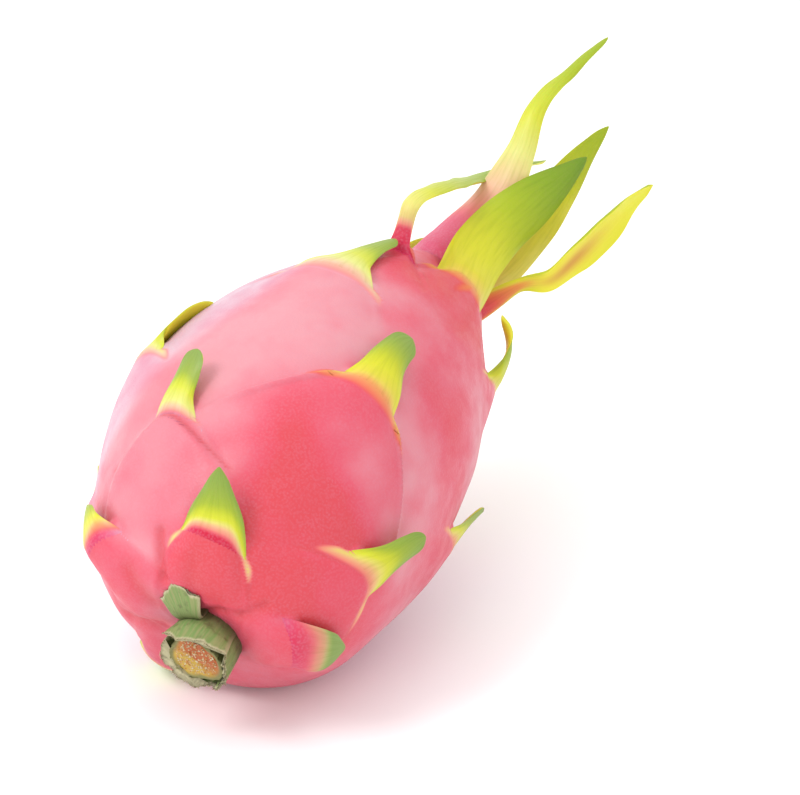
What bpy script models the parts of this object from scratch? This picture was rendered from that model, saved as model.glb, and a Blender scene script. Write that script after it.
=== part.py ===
"""Dragon fruit lying on a small flat spot: a pink body, its cut stem and the scales that grow from its skin.

The fruit is built along its own axis, from the stem end to the crown, and tilted onto its flat spot
at the end. A place on the skin is (s, theta): s runs from 0 at the stem pole to 1 at the crown pole,
and theta goes round, 0 on top and 90 toward -Y. Every scale grows out of a low mound of the skin.
"""

import math
from collections import namedtuple

import bmesh
import bpy
import numpy as np
from mathutils import Matrix

# Overall sizes of the body, in metres and degrees.
BODY_LENGTH = 0.141
BODY_RADIUS = 0.0426
STEM_FULLNESS = 0.754
CROWN_FULLNESS = 1.254
STEM_HEAVINESS = 0.216
BOW = 0.006
BOW_ANGLE = 112.0
TILT = 12.0
FLAT_DEPTH = 0.0016

# The hollow round the stem, the cut stem itself and the dried scales round it.
DIMPLE_DEPTH = 0.007
DIMPLE_RADIUS = 0.013
STEM_SHIFT = 0.0048
STEM_SHIFT_ANGLE = 95.0
STUB_RADIUS = 0.0072
STUB_NARROWING = 0.0012
STUB_PROUD = 0.0045
STEM_RING_GAP = 0.0006
STEM_SCALE_THICKNESS = 0.0012

# How scales are made. Their tables hold widths for a body of TABLE_RADIUS, and a slimmer or fuller
# body carries scales that are narrower or wider in the same measure.
TABLE_RADIUS = 0.0426
FIT_GAP = 0.0003
ROOT_DEPTH = 0.0045
ROOT_SINK = 0.0009
MOUND_FALL = 0.0042
MOUND_SIDE_POWER = 1.4
MOUND_RISE_POWER = 1.6
MOUND_BLEND = 4.0
TIP_HALF_WIDTH = 0.0006
TIP_ROUNDING_POWER = 8
TIP_THICKNESS_SHARE = 0.45
FLOOR_HEIGHT = 0.0

# How finely surfaces are divided.
BODY_ROUND = 64
BODY_RINGS = 42
SCALE_ACROSS = 4
SIDE_ROWS = 7
CROWN_ROWS = 12
STEM_SCALE_ACROSS = 6
STEM_SCALE_ROWS = 3
STUB_SEGMENTS = 20
POLE_MARGIN = 0.002
ARC_STEPS = 400

MM = 0.001

# A scale: where it grows, its root half width, its mound (how far it runs toward the stem, how high,
# how fast it widens), the way its middle line goes (ahead, out, across, in mm, at one third, two
# thirds and the tip), its half width at the same places as shares of the root's, its fold in
# degrees at the root, at its middle and at the tip, its twist and its thickness in mm.
Scale = namedtuple("Scale", "name s theta half_width reach height flare path widths fold twist thickness")

SIDE_SCALES = (
    Scale("side_scale_1", 0.150, 14, 9.0, 24, 4.2, 0.35,
          ((5.5, 4.6, -0.5), (11, 5.6, -1.2), (16.5, 6.2, -2)), (0.74, 0.42, 0.12), (60, 50, 40), 0, 2.0),
    Scale("side_scale_2", 0.160, 297, 8.5, 25, 5.4, 0.40,
          ((5, 4.4, -0.4), (9.5, 2.8, -1), (13.5, 0.6, -2)), (0.74, 0.46, 0.14), (45, 40, 30), 0, 2.0),
    Scale("side_scale_3", 0.302, 343, 6.5, 24, 3.0, 0.95,
          ((5.5, 3.4, 1.2), (11, 4.0, 2.8), (16.5, 4.6, 4.8)), (0.60, 0.50, 0.42), (70, 60, 40), 0, 2.2),
    Scale("side_scale_4", 0.440, 308, 8.0, 26, 2.8, 0.80,
          ((7, 2.6, 2.2), (14, 1.0, 5.2), (21, -2.0, 8.5)), (0.66, 0.46, 0.26), (60, 50, 30), 0, 2.2),
    Scale("side_scale_5", 0.440, 40, 8.5, 26, 3.2, 1.00,
          ((6.5, 3.8, -0.8), (13, 4.0, -0.8), (19.5, 4.0, 0.8)), (0.56, 0.42, 0.36), (60, 60, 40), 0, 2.4),
    Scale("side_scale_6", 0.600, 0, 12.5, 26, 2.8, 0.70,
          ((9.5, 3.9, 1.2), (18.5, 4.4, 2.8), (26, 4.4, 5)), (0.58, 0.34, 0.22), (60, 55, 40), 0, 2.4),
    Scale("side_scale_7", 0.130, 95, 9.5, 22, 4.0, 0.35,
          ((5, 4.2, 1), (10, 4.2, 2), (14.5, 3.6, 3)), (0.76, 0.48, 0.16), (45, 35, 25), 0, 2.0),
    Scale("side_scale_8", 0.270, 78, 7.5, 24, 3.0, 0.80,
          ((6, 3.6, 0.5), (12, 4.0, 1), (18, 4.4, 1.5)), (0.60, 0.46, 0.36), (65, 60, 40), 0, 2.2),
    Scale("side_scale_9", 0.190, 214, 8.0, 22, 3.0, 0.40,
          ((5, 3.2, 0), (10, 3.2, -0.5), (15, 3.0, -1)), (0.72, 0.42, 0.14), (60, 50, 40), 0, 2.0),
    Scale("side_scale_10", 0.330, 262, 7.5, 26, 3.0, 0.85,
          ((6, 3.6, 0), (12, 4.2, 0), (18, 4.8, 0)), (0.60, 0.46, 0.38), (65, 60, 40), 0, 2.2),
    Scale("side_scale_11", 0.480, 118, 7.5, 26, 2.8, 0.90,
          ((6.5, 3.6, 0.6), (13, 4.6, 1.4), (19, 6, 2.4)), (0.60, 0.44, 0.34), (65, 60, 40), 0, 2.2),
    Scale("side_scale_12", 0.470, 172, 8.0, 24, 2.6, 0.80,
          ((7, 4.6, 0), (14, 7.4, 0), (21, 10.5, 0)), (0.62, 0.48, 0.36), (50, 30, 10), 0, 2.4),
    Scale("side_scale_13", 0.520, 222, 8.0, 26, 3.0, 0.90,
          ((6.5, 6, -1), (13, 11, -2), (19, 16, -3)), (0.60, 0.46, 0.36), (60, 40, 20), 0, 2.4),
    Scale("side_scale_14", 0.700, 104, 6.5, 24, 2.6, 0.90,
          ((7, 4.6, -2), (14, 5.6, -5.5), (20, 4.6, -11)), (0.56, 0.38, 0.16), (70, 60, 40), 0, 2.2),
    Scale("side_scale_15", 0.600, 290, 7.5, 26, 2.8, 0.90,
          ((7, 2.8, 0.5), (14, 1.6, 1), (21, -0.6, 1.5)), (0.58, 0.44, 0.26), (65, 60, 40), 0, 2.2),
    Scale("side_scale_16", 0.660, 156, 7.5, 24, 2.8, 0.90,
          ((7, 4.6, 0.5), (14, 7.2, 1), (21, 9.4, 1.5)), (0.58, 0.44, 0.30), (65, 60, 40), 0, 2.2),
    Scale("side_scale_17", 0.680, 244, 7.5, 24, 2.8, 0.90,
          ((7.5, 4.4, 0), (15, 6, -0.5), (22, 6.6, -1)), (0.58, 0.44, 0.28), (65, 60, 40), 0, 2.2),
)

CROWN_SCALES = (
    Scale("crown_scale_1", 0.720, 8, 7.0, 22, 2.6, 0.85,
          ((12, 19, 0), (32, 32, 7), (58, 29, 10)), (0.36, 0.46, 0.10), (110, 60, 30), 10, 2.2),
    Scale("crown_scale_2", 0.825, 6, 7.5, 22, 3.0, 0.80,
          ((13.5, 24, 3), (26, 49, 3), (36, 75.5, 11)), (0.84, 0.42, 0.08), (80, 90, 60), 0, 2.4),
    Scale("crown_scale_3", 0.780, 49, 9.0, 26, 4.0, 0.70,
          ((14, 15, -4), (26, 29, -3), (36, 43, 1)), (0.96, 0.78, 0.10), (80, 70, 40), 0, 2.6),
    Scale("crown_scale_4", 0.930, 50, 7.0, 10, 1.6, 0.50,
          ((2, 20, 6), (3, 42, 3), (2, 64, 0)), (0.90, 0.78, 0.10), (60, 60, 30), 0, 2.4),
    Scale("crown_scale_5", 0.860, 92, 6.0, 22, 2.8, 0.70,
          ((2, 19, -2.5), (9, 38, -7.5), (15, 56, -17)), (0.56, 0.78, 0.10), (90, -50, -40), 0, 2.2),
    Scale("crown_scale_6", 0.860, 160, 7.0, 22, 2.8, 0.80,
          ((8, 11, 0), (17, 20, 0), (26, 27, 0)), (0.76, 0.60, 0.12), (80, 70, 40), 0, 2.2),
    Scale("crown_scale_7", 0.850, 226, 7.0, 22, 2.8, 0.80,
          ((9, 11, 0), (18, 20, 0), (28, 28, 0)), (0.76, 0.60, 0.12), (80, 70, 40), 0, 2.2),
    Scale("crown_scale_8", 0.810, 292, 7.0, 24, 2.8, 0.80,
          ((9, 6.5, 0), (19, 11, 0), (29, 14, 0)), (0.72, 0.52, 0.12), (80, 70, 40), 0, 2.2),
)

# A dried scale at the stem: the middle of its arc and the arc's span in degrees, its length beyond
# the stem pole and how far it stands out from the ring round the stub, in mm, and its lean outward.
StemScale = namedtuple("StemScale", "name theta span length set_out lean")

STEM_SCALES = (
    StemScale("stem_scale_1", 352, 106, 9.0, 0.0, 14),
    StemScale("stem_scale_2", 84, 50, 8.0, 0.0, 10),
    StemScale("stem_scale_3", 143, 48, 6.0, 0.0, 16),
    StemScale("stem_scale_4", 222, 92, 6.5, 0.0, 14),
    StemScale("stem_scale_5", 320, 48, 4.0, 1.8, 52),
)

# Looks: colour, roughness and metallic.
MATERIALS = {
    "skin": ((0.86, 0.16, 0.30, 1.0), 0.42, 0.0),
    "green_scale": ((0.55, 0.64, 0.13, 1.0), 0.48, 0.0),
    "cut_stem": ((0.72, 0.42, 0.12, 1.0), 0.62, 0.0),
    "dried_scale": ((0.42, 0.40, 0.20, 1.0), 0.78, 0.0),
}


# ---------------------------------------------------------------------------------------------
# The skin as a formula
# ---------------------------------------------------------------------------------------------

def stem_foot():
    """Middle of the hollow's floor at the stem, in the fruit's own axes."""
    bow_angle = math.radians(BOW_ANGLE)
    shift_angle = math.radians(STEM_SHIFT_ANGLE)
    y = -BOW * math.sin(bow_angle) - STEM_SHIFT * math.sin(shift_angle)
    z = BOW * math.cos(bow_angle) + STEM_SHIFT * math.cos(shift_angle)
    return np.array([-BODY_LENGTH / 2 + DIMPLE_DEPTH, y, z])


def skin_point(s, theta):
    """Place of the bare body at s and theta (radians), in the fruit's own axes, without mounds."""
    along = np.cos(np.pi * s)
    girth = np.maximum(np.sin(np.pi * s), 1e-7)
    fullness = STEM_FULLNESS + (CROWN_FULLNESS - STEM_FULLNESS) * s
    radius = BODY_RADIUS * girth ** fullness * (1.0 + STEM_HEAVINESS * along)
    bow = BOW * along ** 2
    bow_angle = math.radians(BOW_ANGLE)
    y = -radius * np.sin(theta) - bow * math.sin(bow_angle)
    z = radius * np.cos(theta) + bow * math.cos(bow_angle)
    foot = stem_foot()
    from_foot = ((y - foot[1]) ** 2 + (z - foot[2]) ** 2) / DIMPLE_RADIUS ** 2
    dimple = DIMPLE_DEPTH * np.exp(-from_foot) * np.where(s < 0.5, 1.0, 0.0)
    x = -BODY_LENGTH / 2 * along + dimple
    return np.stack([x, y, z], axis=-1)


def unit(vectors):
    """The same vectors with length one."""
    return vectors / np.maximum(np.linalg.norm(vectors, axis=-1, keepdims=True), 1e-12)


def skin_axes(s, theta):
    """Directions ahead along the skin, out of it and across it."""
    step = 1e-4
    ahead = unit(skin_point(s + step, theta) - skin_point(s - step, theta))
    across = unit(skin_point(s, theta + step) - skin_point(s, theta - step))
    out = unit(np.cross(across, ahead))
    return ahead, out, across


def arc_table():
    """Distance over the skin from the stem pole, for evenly spaced s."""
    s = np.linspace(0.0, 1.0, ARC_STEPS + 1)
    points = skin_point(s, np.zeros_like(s))
    steps = np.linalg.norm(np.diff(points, axis=0), axis=1)
    return s, np.concatenate([[0.0], np.cumsum(steps)])


def ring_radius(s):
    """Distance from the fruit's axis to its skin."""
    girth = np.maximum(np.sin(np.pi * s), 1e-7)
    fullness = STEM_FULLNESS + (CROWN_FULLNESS - STEM_FULLNESS) * s
    return BODY_RADIUS * girth ** fullness * (1.0 + STEM_HEAVINESS * np.cos(np.pi * s))


def root_half_width(scale):
    """Half the width of a scale at its root."""
    return scale.half_width * MM * BODY_RADIUS / TABLE_RADIUS


def mound_height(s, theta):
    """Height of the skin above the bare body, from the mounds of all scales."""
    table_s, table_arc = arc_table()
    arc = np.interp(s, table_s, table_arc)
    total = np.zeros_like(arc)
    for scale in SIDE_SCALES + CROWN_SCALES:
        root_arc = np.interp(scale.s, table_s, table_arc)
        turn = np.angle(np.exp(1j * (theta - math.radians(scale.theta))))
        across = np.abs(turn) * ring_radius(s)
        ahead = arc - root_arc
        behind = np.minimum(ahead, 0.0)
        rise = np.clip(1.0 + behind / (scale.reach * MM), 0.0, 1.0) ** MOUND_RISE_POWER
        fall = np.clip(ahead / MOUND_FALL, 0.0, 1.0)
        fall = 1.0 - fall * fall * (3.0 - 2.0 * fall)
        half_width = root_half_width(scale) - scale.flare * behind
        side = np.clip(1.0 - (across / half_width) ** 2, 0.0, 1.0) ** MOUND_SIDE_POWER
        total += (scale.height * rise * fall * side) ** MOUND_BLEND
    return total ** (1.0 / MOUND_BLEND) * MM


def flat_spot_place():
    """Where the bare body would first touch the floor, in tilted axes before it is set down."""
    s, theta = np.meshgrid(np.linspace(0.05, 0.95, 181), np.radians(np.arange(90, 271)), indexing="ij")
    points = tilted(skin_point(s, theta))
    return points.reshape(-1, 3)[np.argmin(points[..., 2])]


def tilted(points):
    """Points of the fruit's own axes turned so that its crown end is raised by TILT."""
    angle = math.radians(TILT)
    x = points[..., 0] * math.cos(angle) - points[..., 2] * math.sin(angle)
    z = points[..., 0] * math.sin(angle) + points[..., 2] * math.cos(angle)
    return np.stack([x, points[..., 1], z], axis=-1)


def set_down(points):
    """Points of the fruit's own axes, tilted and moved so that its flat spot lies on z = 0."""
    spot = flat_spot_place() + np.array([0.0, 0.0, FLAT_DEPTH])
    return tilted(points) - spot


# ---------------------------------------------------------------------------------------------
# Scene helpers
# ---------------------------------------------------------------------------------------------

def clear_scene():
    """Empty the file of objects."""
    for item in list(bpy.data.objects):
        bpy.data.objects.remove(item, do_unlink=True)


def make_collection(name):
    """A collection under the scene."""
    collection = bpy.data.collections.new(name)
    bpy.context.scene.collection.children.link(collection)
    return collection


def make_material(name):
    """A Principled material with the colour, roughness and metallic of MATERIALS."""
    colour, roughness, metallic = MATERIALS[name]
    material = bpy.data.materials.new(name)
    material.use_nodes = True
    shader = material.node_tree.nodes["Principled BSDF"]
    shader.inputs["Base Color"].default_value = colour
    shader.inputs["Roughness"].default_value = roughness
    shader.inputs["Metallic"].default_value = metallic
    material.diffuse_color = colour
    return material


def add_object(name, mesh_data, collection, material=None):
    """An object that holds a bmesh, which is freed."""
    mesh = bpy.data.meshes.new(name)
    mesh_data.to_mesh(mesh)
    mesh_data.free()
    item = bpy.data.objects.new(name, mesh)
    collection.objects.link(item)
    if material is not None:
        mesh.materials.append(material)
    return item


def apply_modifiers(item):
    """Replace an object's mesh by the result of its modifiers."""
    depsgraph = bpy.context.evaluated_depsgraph_get()
    result = bpy.data.meshes.new_from_object(item.evaluated_get(depsgraph))
    old = item.data
    item.modifiers.clear()
    item.data = result
    bpy.data.meshes.remove(old)
    result.name = item.name


def cut(item, cutter):
    """Take the cutter's solid away from an object, exactly."""
    modifier = item.modifiers.new("cut", "BOOLEAN")
    modifier.operation = "DIFFERENCE"
    modifier.solver = "EXACT"
    modifier.object = cutter
    apply_modifiers(item)


def drop_crumbs(item):
    """Keep the largest closed piece of an object, without the crumbs that a grazing cut can leave."""
    mesh = bmesh.new()
    mesh.from_mesh(item.data)
    pieces = []
    waiting = set(mesh.verts)
    while waiting:
        reached = [waiting.pop()]
        piece = set(reached)
        while reached:
            for edge in reached.pop().link_edges:
                for vertex in edge.verts:
                    if vertex in waiting:
                        waiting.discard(vertex)
                        piece.add(vertex)
                        reached.append(vertex)
        pieces.append(piece)
    largest = max(pieces, key=len)
    crumbs = [vertex for vertex in mesh.verts if vertex not in largest]
    bmesh.ops.delete(mesh, geom=crumbs, context="VERTS")
    mesh.to_mesh(item.data)
    mesh.free()


def make_cutter(item):
    """Mark an object as one that only cuts."""
    item.hide_render = True
    item.display_type = "WIRE"
    return item


def thicken(item, thickness, shares=None):
    """Turn a sheet into a closed solid behind its outer face, thinner where the shares say."""
    modifier = item.modifiers.new("thickness", "SOLIDIFY")
    modifier.thickness = thickness
    modifier.offset = -1.0
    modifier.use_rim = True
    if shares is not None:
        group = item.vertex_groups.new(name="thickness")
        for index, share in enumerate(shares):
            group.add([index], share, "REPLACE")
        modifier.vertex_group = group.name
    apply_modifiers(item)
    item.vertex_groups.clear()


# ---------------------------------------------------------------------------------------------
# Body
# ---------------------------------------------------------------------------------------------

def body_mesh(growth):
    """The body as a closed bmesh on its flat spot, grown outward by a distance."""
    mesh = bmesh.new()
    bmesh.ops.create_uvsphere(mesh, u_segments=BODY_ROUND, v_segments=BODY_RINGS, radius=1.0)
    sphere = np.array([vertex.co[:] for vertex in mesh.verts])
    s = np.arccos(np.clip(-sphere[:, 2], -1.0, 1.0)) / np.pi
    theta = np.arctan2(sphere[:, 1], sphere[:, 0])
    inside = np.clip(s, POLE_MARGIN, 1.0 - POLE_MARGIN)
    outward = skin_axes(inside, theta)[1]
    points = skin_point(s, theta) + outward * mound_height(s, theta)[:, None]
    for vertex, point in zip(mesh.verts, set_down(points)):
        vertex.co = point
    bmesh.ops.recalc_face_normals(mesh, faces=mesh.faces)
    bmesh.ops.triangulate(mesh, faces=mesh.faces, quad_method="SHORT_EDGE")
    mesh.normal_update()
    grown = [vertex.co + vertex.normal * vertex.calc_shell_factor() * growth for vertex in mesh.verts]
    for vertex, place in zip(mesh.verts, grown):
        vertex.co = place
    return mesh


def floor_cutter(collection):
    """A block whose top face is the floor, for the flat spot."""
    side = 2.0 * BODY_LENGTH
    mesh = bmesh.new()
    bmesh.ops.create_cube(mesh, size=side, matrix=Matrix.Translation((0.0, 0.0, -side / 2)))
    return make_cutter(add_object("cut_floor", mesh, collection))


def build_body(parts, cutters, material):
    """The body with its flat spot, and the slightly larger copy that makes room for it."""
    body = add_object("fruit_body", body_mesh(0.0), parts, material)
    cut(body, floor_cutter(cutters))
    room = make_cutter(add_object("cut_body_room", body_mesh(FIT_GAP), cutters))
    return body, room


# ---------------------------------------------------------------------------------------------
# Scales that grow from the skin
# ---------------------------------------------------------------------------------------------

def middle_line(scale, t):
    """Points of a scale's middle line in the fruit's own axes; t is 0 at the root and 1 at the tip."""
    theta = math.radians(scale.theta)
    ahead, out, across = skin_axes(np.float64(scale.s), np.float64(theta))
    root = (0.0, scale.height - ROOT_SINK / MM, 0.0)
    knots = np.array((root,) + scale.path) * MM
    weights = lagrange_weights(np.maximum(t, 0.0))
    local = weights @ knots
    slope = (lagrange_weights(np.array([0.02])) @ knots - knots[0]) / 0.02
    behind = np.minimum(t, 0.0)[:, None]
    local = local + behind * slope * np.array([1.0, 0.5, 1.0])
    place = skin_point(np.float64(scale.s), np.float64(theta))
    return place + local @ np.stack([ahead, out, across])


def lagrange_weights(t):
    """Weights of four evenly spaced points of a cubic curve through them."""
    a, b = 1.0 / 3.0, 2.0 / 3.0
    return np.stack([
        (t - a) * (t - b) * (t - 1.0) / (-a * b),
        t * (t - b) * (t - 1.0) / (a * (a - b) * (a - 1.0)),
        t * (t - a) * (t - 1.0) / (b * (b - a) * (b - 1.0)),
        t * (t - a) * (t - b) / ((1.0 - a) * (1.0 - b)),
    ], axis=-1)


def half_widths(scale, t):
    """Half the width of a scale along its length, rounded off at the tip."""
    shares = np.interp(t, [0.0, 1.0 / 3.0, 2.0 / 3.0, 1.0], (1.0,) + scale.widths)
    rounding = np.sqrt(np.clip(1.0 - np.maximum(t, 0.0) ** TIP_ROUNDING_POWER, 0.0, 1.0))
    return np.maximum(root_half_width(scale) * shares * rounding, TIP_HALF_WIDTH)


def scale_points(scale, rows):
    """Outer face of a scale as rows of points, from inside the body to the tip."""
    line_length = np.linalg.norm(np.array(scale.path[-1])) * MM
    t = np.linspace(-ROOT_DEPTH / line_length, 1.0, rows + 1)
    line = middle_line(scale, t)
    heading = unit(np.gradient(line, axis=0))
    theta = math.radians(scale.theta)
    across = skin_axes(np.float64(scale.s), np.float64(theta))[2]
    side = unit(across - heading * (heading @ across)[:, None])
    up = np.cross(side, heading)
    twist = np.radians(scale.twist) * np.maximum(t, 0.0)
    side, up = (side * np.cos(twist)[:, None] + up * np.sin(twist)[:, None],
                up * np.cos(twist)[:, None] - side * np.sin(twist)[:, None])
    fold = np.radians(np.interp(t, [0.0, 0.5, 1.0], scale.fold)) / 2.0
    width = half_widths(scale, t)
    bend = np.where(np.abs(fold) < 1e-3, 1e-3, fold)
    radius = width / np.sin(np.minimum(np.abs(bend), np.pi / 2)) * np.sign(bend)
    grid = []
    for row in range(rows + 1):
        angles = np.linspace(-1.0, 1.0, SCALE_ACROSS + 1) * abs(bend[row])
        sideways = np.outer(np.abs(radius[row]) * np.sin(angles), side[row])
        inward = np.outer(radius[row] * (1.0 - np.cos(angles)), up[row])
        grid.append(line[row] + sideways - inward)
    return np.array(grid)


def build_scale(scale, rows, parts, room, material):
    """One scale, cut to sit on the skin with the fit gap."""
    mesh = bmesh.new()
    bmesh.ops.create_grid(mesh, x_segments=SCALE_ACROSS, y_segments=rows, size=1.0)
    points = set_down(scale_points(scale, rows))
    points[..., 2] = np.maximum(points[..., 2], FLOOR_HEIGHT)
    shares = []
    for vertex in mesh.verts:
        column = round((vertex.co.x + 1.0) / 2.0 * SCALE_ACROSS)
        row = round((vertex.co.y + 1.0) / 2.0 * rows)
        shares.append(1.0 - (1.0 - TIP_THICKNESS_SHARE) * row / rows)
        vertex.co = points[row, column]
    item = add_object(scale.name, mesh, parts, material)
    thicken(item, scale.thickness * MM, shares)
    cut(item, room)
    drop_crumbs(item)
    return item


# ---------------------------------------------------------------------------------------------
# Stem
# ---------------------------------------------------------------------------------------------

def build_stub(parts, room, material):
    """The cut end of the stem, standing in its hollow."""
    length = DIMPLE_DEPTH + STUB_PROUD + ROOT_DEPTH
    mesh = bmesh.new()
    turn = Matrix.Rotation(math.radians(90.0), 4, "Y")
    bmesh.ops.create_cone(mesh, cap_ends=True, segments=STUB_SEGMENTS, radius1=STUB_RADIUS - STUB_NARROWING,
                          radius2=STUB_RADIUS, depth=length, matrix=turn)
    foot = stem_foot()
    middle = foot + np.array([ROOT_DEPTH - length / 2, 0.0, 0.0])
    points = set_down(np.array([vertex.co[:] for vertex in mesh.verts]) + middle)
    for vertex, point in zip(mesh.verts, points):
        vertex.co = point
    item = add_object("stem_stub", mesh, parts, material)
    cut(item, room)
    return item


def stem_scale_points(scale):
    """Outer face of a dried scale as rows of points, from inside the body to its free margin."""
    lean = math.radians(scale.lean)
    length = scale.length * MM + DIMPLE_DEPTH
    run = np.linspace(-ROOT_DEPTH, length, STEM_SCALE_ROWS + 1)
    inner = STUB_RADIUS + STEM_RING_GAP + STEM_SCALE_THICKNESS + scale.set_out * MM
    half_span = math.radians(scale.span) / 2
    angles = math.radians(scale.theta) + np.linspace(-half_span, half_span, STEM_SCALE_ACROSS + 1)
    foot = stem_foot()
    grid = []
    for step in run:
        radius = inner + max(step, 0.0) * math.sin(lean)
        x = foot[0] - step * math.cos(lean)
        grid.append([(x, foot[1] - radius * math.sin(a), foot[2] + radius * math.cos(a)) for a in angles])
    return np.array(grid)


def build_stem_scale(scale, parts, room, material):
    """One dried scale at the stem, cut to sit in its hollow."""
    mesh = bmesh.new()
    bmesh.ops.create_grid(mesh, x_segments=STEM_SCALE_ACROSS, y_segments=STEM_SCALE_ROWS, size=1.0)
    points = set_down(stem_scale_points(scale))
    for vertex in mesh.verts:
        column = round((vertex.co.x + 1.0) / 2.0 * STEM_SCALE_ACROSS)
        row = round((vertex.co.y + 1.0) / 2.0 * STEM_SCALE_ROWS)
        vertex.co = points[row, column]
    bmesh.ops.reverse_faces(mesh, faces=mesh.faces)
    item = add_object(scale.name, mesh, parts, material)
    thicken(item, STEM_SCALE_THICKNESS)
    cut(item, room)
    drop_crumbs(item)
    return item


# ---------------------------------------------------------------------------------------------
# Assembly
# ---------------------------------------------------------------------------------------------

def main():
    """Build every piece of the fruit."""
    clear_scene()
    parts = make_collection("dragon_fruit")
    cutters = make_collection("cutters")
    materials = {name: make_material(name) for name in MATERIALS}
    room = build_body(parts, cutters, materials["skin"])[1]
    for scale in SIDE_SCALES:
        build_scale(scale, SIDE_ROWS, parts, room, materials["green_scale"])
    for scale in CROWN_SCALES:
        build_scale(scale, CROWN_ROWS, parts, room, materials["green_scale"])
    build_stub(parts, room, materials["cut_stem"])
    for scale in STEM_SCALES:
        build_stem_scale(scale, parts, room, materials["dried_scale"])


main()
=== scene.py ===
"""Dragon fruit lying on its side: pink skin, fleshy green-tipped scales and a dried, cut stem.

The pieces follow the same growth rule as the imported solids, at a finer division: a place on the skin
is (s, theta), where s runs from 0 at the stem to 1 at the crown, and theta goes round, 0 on top and
90 toward -Y. The skin and the scales take their colours from the same few painted values, so that one
flows into the other. Lengths in the tables of growths, creases and patches are in millimetres.
"""

import logging
import math
from dataclasses import dataclass
from enum import Enum
from functools import cached_property

import bmesh
import bpy
import numpy as np
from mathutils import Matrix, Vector

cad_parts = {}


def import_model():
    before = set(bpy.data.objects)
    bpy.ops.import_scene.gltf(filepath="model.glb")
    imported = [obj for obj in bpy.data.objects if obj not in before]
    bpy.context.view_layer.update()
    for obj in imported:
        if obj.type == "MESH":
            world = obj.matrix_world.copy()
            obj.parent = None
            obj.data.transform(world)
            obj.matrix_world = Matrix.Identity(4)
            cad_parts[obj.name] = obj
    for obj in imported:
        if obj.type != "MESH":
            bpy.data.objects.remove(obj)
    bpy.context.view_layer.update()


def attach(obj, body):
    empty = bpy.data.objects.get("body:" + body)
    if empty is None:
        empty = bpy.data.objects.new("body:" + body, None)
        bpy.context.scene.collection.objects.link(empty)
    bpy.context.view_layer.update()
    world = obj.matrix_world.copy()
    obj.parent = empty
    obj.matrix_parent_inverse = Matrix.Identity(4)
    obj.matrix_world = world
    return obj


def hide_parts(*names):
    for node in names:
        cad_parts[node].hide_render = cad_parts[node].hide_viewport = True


MM = 0.001
BODY = "root"
NUMBER = "NodeSocketFloat"
COLOUR = "NodeSocketColor"

# Share of a display colour that a surface gets, so that the studio's lights show it as it was chosen.
STUDIO_GAIN = 0.58
LEAF_GAIN = 0.70
# The inner faces sit in shade, so their yellow gets a larger share still: painted light.
INNER_PAINTED_LIGHT_GAIN = 0.85
FULL_GAIN = 1.0

Array = np.ndarray
Paint = dict[str, Array]
Colour = tuple[float, float, float, float]
Stops = tuple[tuple[float, Colour], ...]


class Slot(Enum):
    """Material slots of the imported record."""

    SKIN = "skin"
    SCALE = "green_scale"
    CUT = "cut_stem"
    DRIED = "dried_scale"


# ---------------------------------------------------------------------------------------------
# Small helpers
# ---------------------------------------------------------------------------------------------

def unit(vectors: Array) -> Array:
    """Return the same vectors with length one."""
    return vectors / np.maximum(np.linalg.norm(vectors, axis=-1, keepdims=True), 1e-12)


def smooth(values: Array, low: float = 0.0, high: float = 1.0) -> Array:
    """Ease from 0 at low to 1 at high.

    Args:
        values: Numbers to ease.
        low: Value that gives 0.
        high: Value that gives 1.

    Returns:
        Numbers from 0 to 1 with a level start and end.
    """
    share = np.clip((values - low) / (high - low), 0.0, 1.0)
    return share * share * (3.0 - 2.0 * share)


def through(values: tuple, t: Array) -> Array:
    """Read a smooth curve through evenly spaced values.

    Args:
        values: Numbers at t = 0 to t = 1.
        t: Where to read the curve.

    Returns:
        The curve's values, which don't overshoot much between the given ones.
    """
    knots = np.asarray(values, dtype=float)
    spans = len(knots) - 1
    place = np.clip(t, 0.0, 1.0) * spans
    start = np.minimum(place.astype(int), spans - 1)
    f = place - start
    padded = np.concatenate([[2 * knots[0] - knots[1]], knots, [2 * knots[-1] - knots[-2]]])
    a, b, c, d = (padded[start + step] for step in range(4))
    return b + 0.5 * f * (c - a + f * (2 * a - 5 * b + 4 * c - d + f * (3 * (b - c) + d - a)))


def bend_through(knots: Array, t: Array) -> Array:
    """Read the curve through evenly spaced points, one polynomial for four and a spline for more.

    Args:
        knots: Points at t = 0 to t = 1, one a row.
        t: Where to read the curve.

    Returns:
        Points of the curve, one a row.
    """
    if len(knots) > 4:
        return np.stack([through(knots[:, axis], t) for axis in range(3)], axis=-1)
    places = np.linspace(0.0, 1.0, len(knots))
    total = np.zeros((len(t), knots.shape[1]))
    for index, place in enumerate(places):
        others = np.delete(places, index)
        weight = np.prod((t[:, None] - others) / (place - others), axis=1)
        total += weight[:, None] * knots[index]
    return total


def swell(points: Array, size: float, seed: int) -> Array:
    """Give a smooth value that wanders between about -1 and 1 over space.

    Args:
        points: Places, in metres.
        size: Width of a swell, in metres.
        seed: Seed that picks the waves.

    Returns:
        One value for each place.
    """
    draws = np.random.default_rng(seed)
    waves = unit(draws.normal(size=(10, 3))) * draws.uniform(0.6, 1.5, size=(10, 1))
    phases = draws.uniform(0.0, 2.0 * math.pi, size=10)
    return np.sin(points @ waves.T * (math.pi / size) + phases).sum(axis=-1) / 3.2


def swells(points: Array, layers: tuple) -> Array:
    """Add up swells of several sizes.

    Args:
        points: Places, in metres.
        layers: Amount, width in metres and seed of each.

    Returns:
        One value for each place.
    """
    return sum(amount * swell(points, size, seed) for amount, size, seed in layers)


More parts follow.
